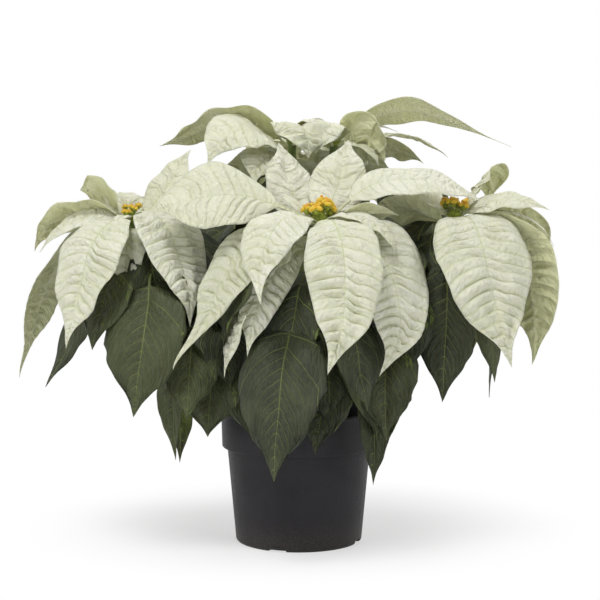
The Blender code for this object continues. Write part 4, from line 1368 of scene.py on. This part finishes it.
def add_crumbs(surface, rng):
    """Loose crumbs and pale grit on the peat, each an egg that is turned uneven by
    1 + 0.25 cos(3 a + 6 u)."""
    for k in range(CRUMBS):
        off, turn = 8.0 + 51.0 * math.sqrt(rng.uniform()), rng.uniform(0.0, 360.0)
        size = rng.uniform(0.8, 2.6)
        profile = egg(size, size * rng.uniform(0.9, 1.6), 6)
        place = heading(turn) * off + UP * (PEAT_LEVEL - 0.6 * size)
        axis = unit(rng.normal(size=3) + UP)
        add_pod(surface, place, axis, profile, 7 + k % 2, 1 if k % CRUMBS_PER_GRIT == 0 else 0,
                lambda a, u: 1.0 + 0.25 * np.cos(3.0 * a + 6.0 * u))


class POINSETTIA_OT_peat(bpy.types.Operator):
    """Fill the pot with peat, crumbly on top"""
    bl_idname = "poinsettia.peat"
    bl_label = "Fill the peat"

    def execute(self, context):
        rng = np.random.default_rng(PEAT_SEED)
        surface = Surface()
        add_peat(surface, rng)
        add_crumbs(surface, rng)
        peat = skin_material(context, "peat", "peat", 0.92, broad=260.0, fine=1300.0,
                             depth=0.0015, Specular_IOR_Level=0.2)
        grit = skin_material(context, "pale_grit", "grit", 0.85, broad=300.0, fine=1500.0)
        finished(surface.mesh("peat_fill", (peat, grit)), "peat", "soil")
        return {"FINISHED"}


def area_light(name, place, aim_height, size, power):
    """A square soft white light that faces a point over the middle of the pot."""
    data = bpy.data.lights.new(name, "AREA")
    data.shape = "SQUARE"
    data.size = size
    data.energy = power
    lamp = bpy.data.objects.new(name, data)
    lamp.location = place
    aim = Vector((0.0, 0.0, aim_height))
    lamp.rotation_euler = (aim - Vector(place)).to_track_quat("-Z", "Y").to_euler()
    bpy.context.scene.collection.objects.link(lamp)


def seen_directly(kit):
    """1 for camera, glossy and transmission rays, which see the plain white studio."""
    path = kit.node("ShaderNodeLightPath").outputs
    seen = kit.math("MAXIMUM", path["Is Camera Ray"], path["Is Glossy Ray"])
    return kit.math("MAXIMUM", seen, path["Is Transmission Ray"])


def floor_material(colour, grain_colour):
    """Matte pale floor that keeps the shadow round the pot and is seen plain white beyond.

    How far a point is from the shadow is the length of (x / reach_x, (y - middle) / reach_y).
    """
    material, kit, shader = start_material("studio_floor", Roughness=0.9, Specular_IOR_Level=0.1)
    grain = kit.ramp(kit.noise(kit.place(), 900.0, 2.0), 0.2, 0.8, 0.0, 0.03)
    kit.feed(shader.inputs["Base Color"], kit.mix(grain, colour, grain_colour))
    reach_x, reach_y = SHADOW_REACH
    spread = kit.node("ShaderNodeMapping", {
        "Vector": kit.place(), "Location": (0.0, -SHADOW_MIDDLE_Y / reach_y, 0.0),
        "Scale": (1.0 / reach_x, 1.0 / reach_y, 0.0)}).outputs[0]
    away = kit.node("ShaderNodeVectorMath", {0: spread}, operation="LENGTH").outputs["Value"]
    white = kit.times(seen_directly(kit), kit.ramp(away, 0.28, 0.95, 0.52, 1.0))
    glow = kit.node("ShaderNodeEmission", {"Color": (1.0, 1.0, 1.0, 1.0), "Strength": 1.0})
    both = kit.node("ShaderNodeMixShader", {0: white, 1: shader.outputs[0], 2: glow.outputs[0]})
    kit.feed(material.node_tree.nodes["Material Output"].inputs["Surface"], both.outputs[0])
    return material


def add_floor(colours):
    """A wide level floor, as stage dressing."""
    steps = 48
    across = np.linspace(-FLOOR_HALF_WIDTH, FLOOR_HALF_WIDTH, steps)
    x, y = np.meshgrid(across, across, indexing="ij")
    surface = Surface()
    points = np.stack([x, y, np.zeros_like(x)], axis=-1).reshape(-1, 3)
    surface.add(points, grid_faces(steps, steps), 0)
    material = floor_material(colours.floor, colours.floor_shade)
    surface.mesh("studio_floor", (material,))


def set_surround(scene):
    """A white world, seen brighter than it shines on the plant."""
    world = bpy.data.worlds.new("white_surround")
    world.use_nodes = True
    kit = Tree(world.node_tree)
    background = world.node_tree.nodes["Background"]
    strength = kit.math("ADD", kit.times(seen_directly(kit), 0.70), 0.30)
    kit.feed(background.inputs["Color"], (1.0, 1.0, 1.0, 1.0))
    kit.feed(background.inputs["Strength"], strength)
    scene.world = world
    scene.view_settings.view_transform = "Standard"


def add_camera(scene, sizes):
    """The camera in front of the pot, aimed at the middle of the plant."""
    data = bpy.data.cameras.new("camera")
    data.sensor_width = 36.0
    data.angle = sizes.camera_angle
    camera = bpy.data.objects.new("camera", data)
    place = Vector((AIM[0], -sizes.camera_distance, sizes.camera_height))
    look = (Vector(AIM) - place).to_track_quat("-Z", "Y").to_matrix().to_4x4()
    camera.matrix_world = Matrix.Translation(place) @ look
    scene.collection.objects.link(camera)
    scene.camera = camera


class POINSETTIA_OT_stage(bpy.types.Operator):
    """Set the floor, the soft lights, the white surround and the camera"""
    bl_idname = "poinsettia.stage"
    bl_label = "Set the stage"

    def execute(self, context):
        add_floor(context.scene.poinsettia_colours)
        for name, lamp in LAMPS.items():
            area_light(name, *lamp)
        set_surround(context.scene)
        add_camera(context.scene, context.scene.poinsettia_sizes)
        return {"FINISHED"}


class POINSETTIA_PT_panel(bpy.types.Panel):
    """Lists the steps that grow the plant, and its settings"""
    bl_idname = "POINSETTIA_PT_panel"
    bl_label = "Poinsettia"
    bl_space_type = "VIEW_3D"
    bl_region_type = "UI"
    bl_category = "Poinsettia"

    def draw(self, context):
        column = self.layout.column()
        for operator in OPERATORS:
            column.operator(operator.bl_idname, text=operator.bl_label)
        for settings in (context.scene.poinsettia_sizes, context.scene.poinsettia_colours):
            for key in settings.bl_rna.properties.keys():
                if key not in ("rna_type", "name"):
                    column.prop(settings, key)


OPERATORS = (POINSETTIA_OT_pot, POINSETTIA_OT_peat, POINSETTIA_OT_stem, POINSETTIA_OT_leaves,
             POINSETTIA_OT_bracts, POINSETTIA_OT_small_bracts, POINSETTIA_OT_flowers,
             POINSETTIA_OT_stage)
CLASSES = (PoinsettiaSizes, PoinsettiaColours, *OPERATORS, POINSETTIA_PT_panel)


def register():
    """Register the classes and hang the settings on the scene."""
    for cls in CLASSES:
        bpy.utils.register_class(cls)
    bpy.types.Scene.poinsettia_sizes = bpy.props.PointerProperty(type=PoinsettiaSizes)
    bpy.types.Scene.poinsettia_colours = bpy.props.PointerProperty(type=PoinsettiaColours)


def unregister():
    """Take the settings and the classes away again."""
    del bpy.types.Scene.poinsettia_colours
    del bpy.types.Scene.poinsettia_sizes
    for cls in reversed(CLASSES):
        bpy.utils.unregister_class(cls)


def main():
    """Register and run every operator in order."""
    register()
    bpy.ops.poinsettia.pot()
    bpy.ops.poinsettia.peat()
    bpy.ops.poinsettia.stem()
    bpy.ops.poinsettia.leaves()
    bpy.ops.poinsettia.bracts()
    bpy.ops.poinsettia.small_bracts()
    bpy.ops.poinsettia.flowers()
    bpy.ops.poinsettia.stage()


if __name__ == "__main__":
    main()
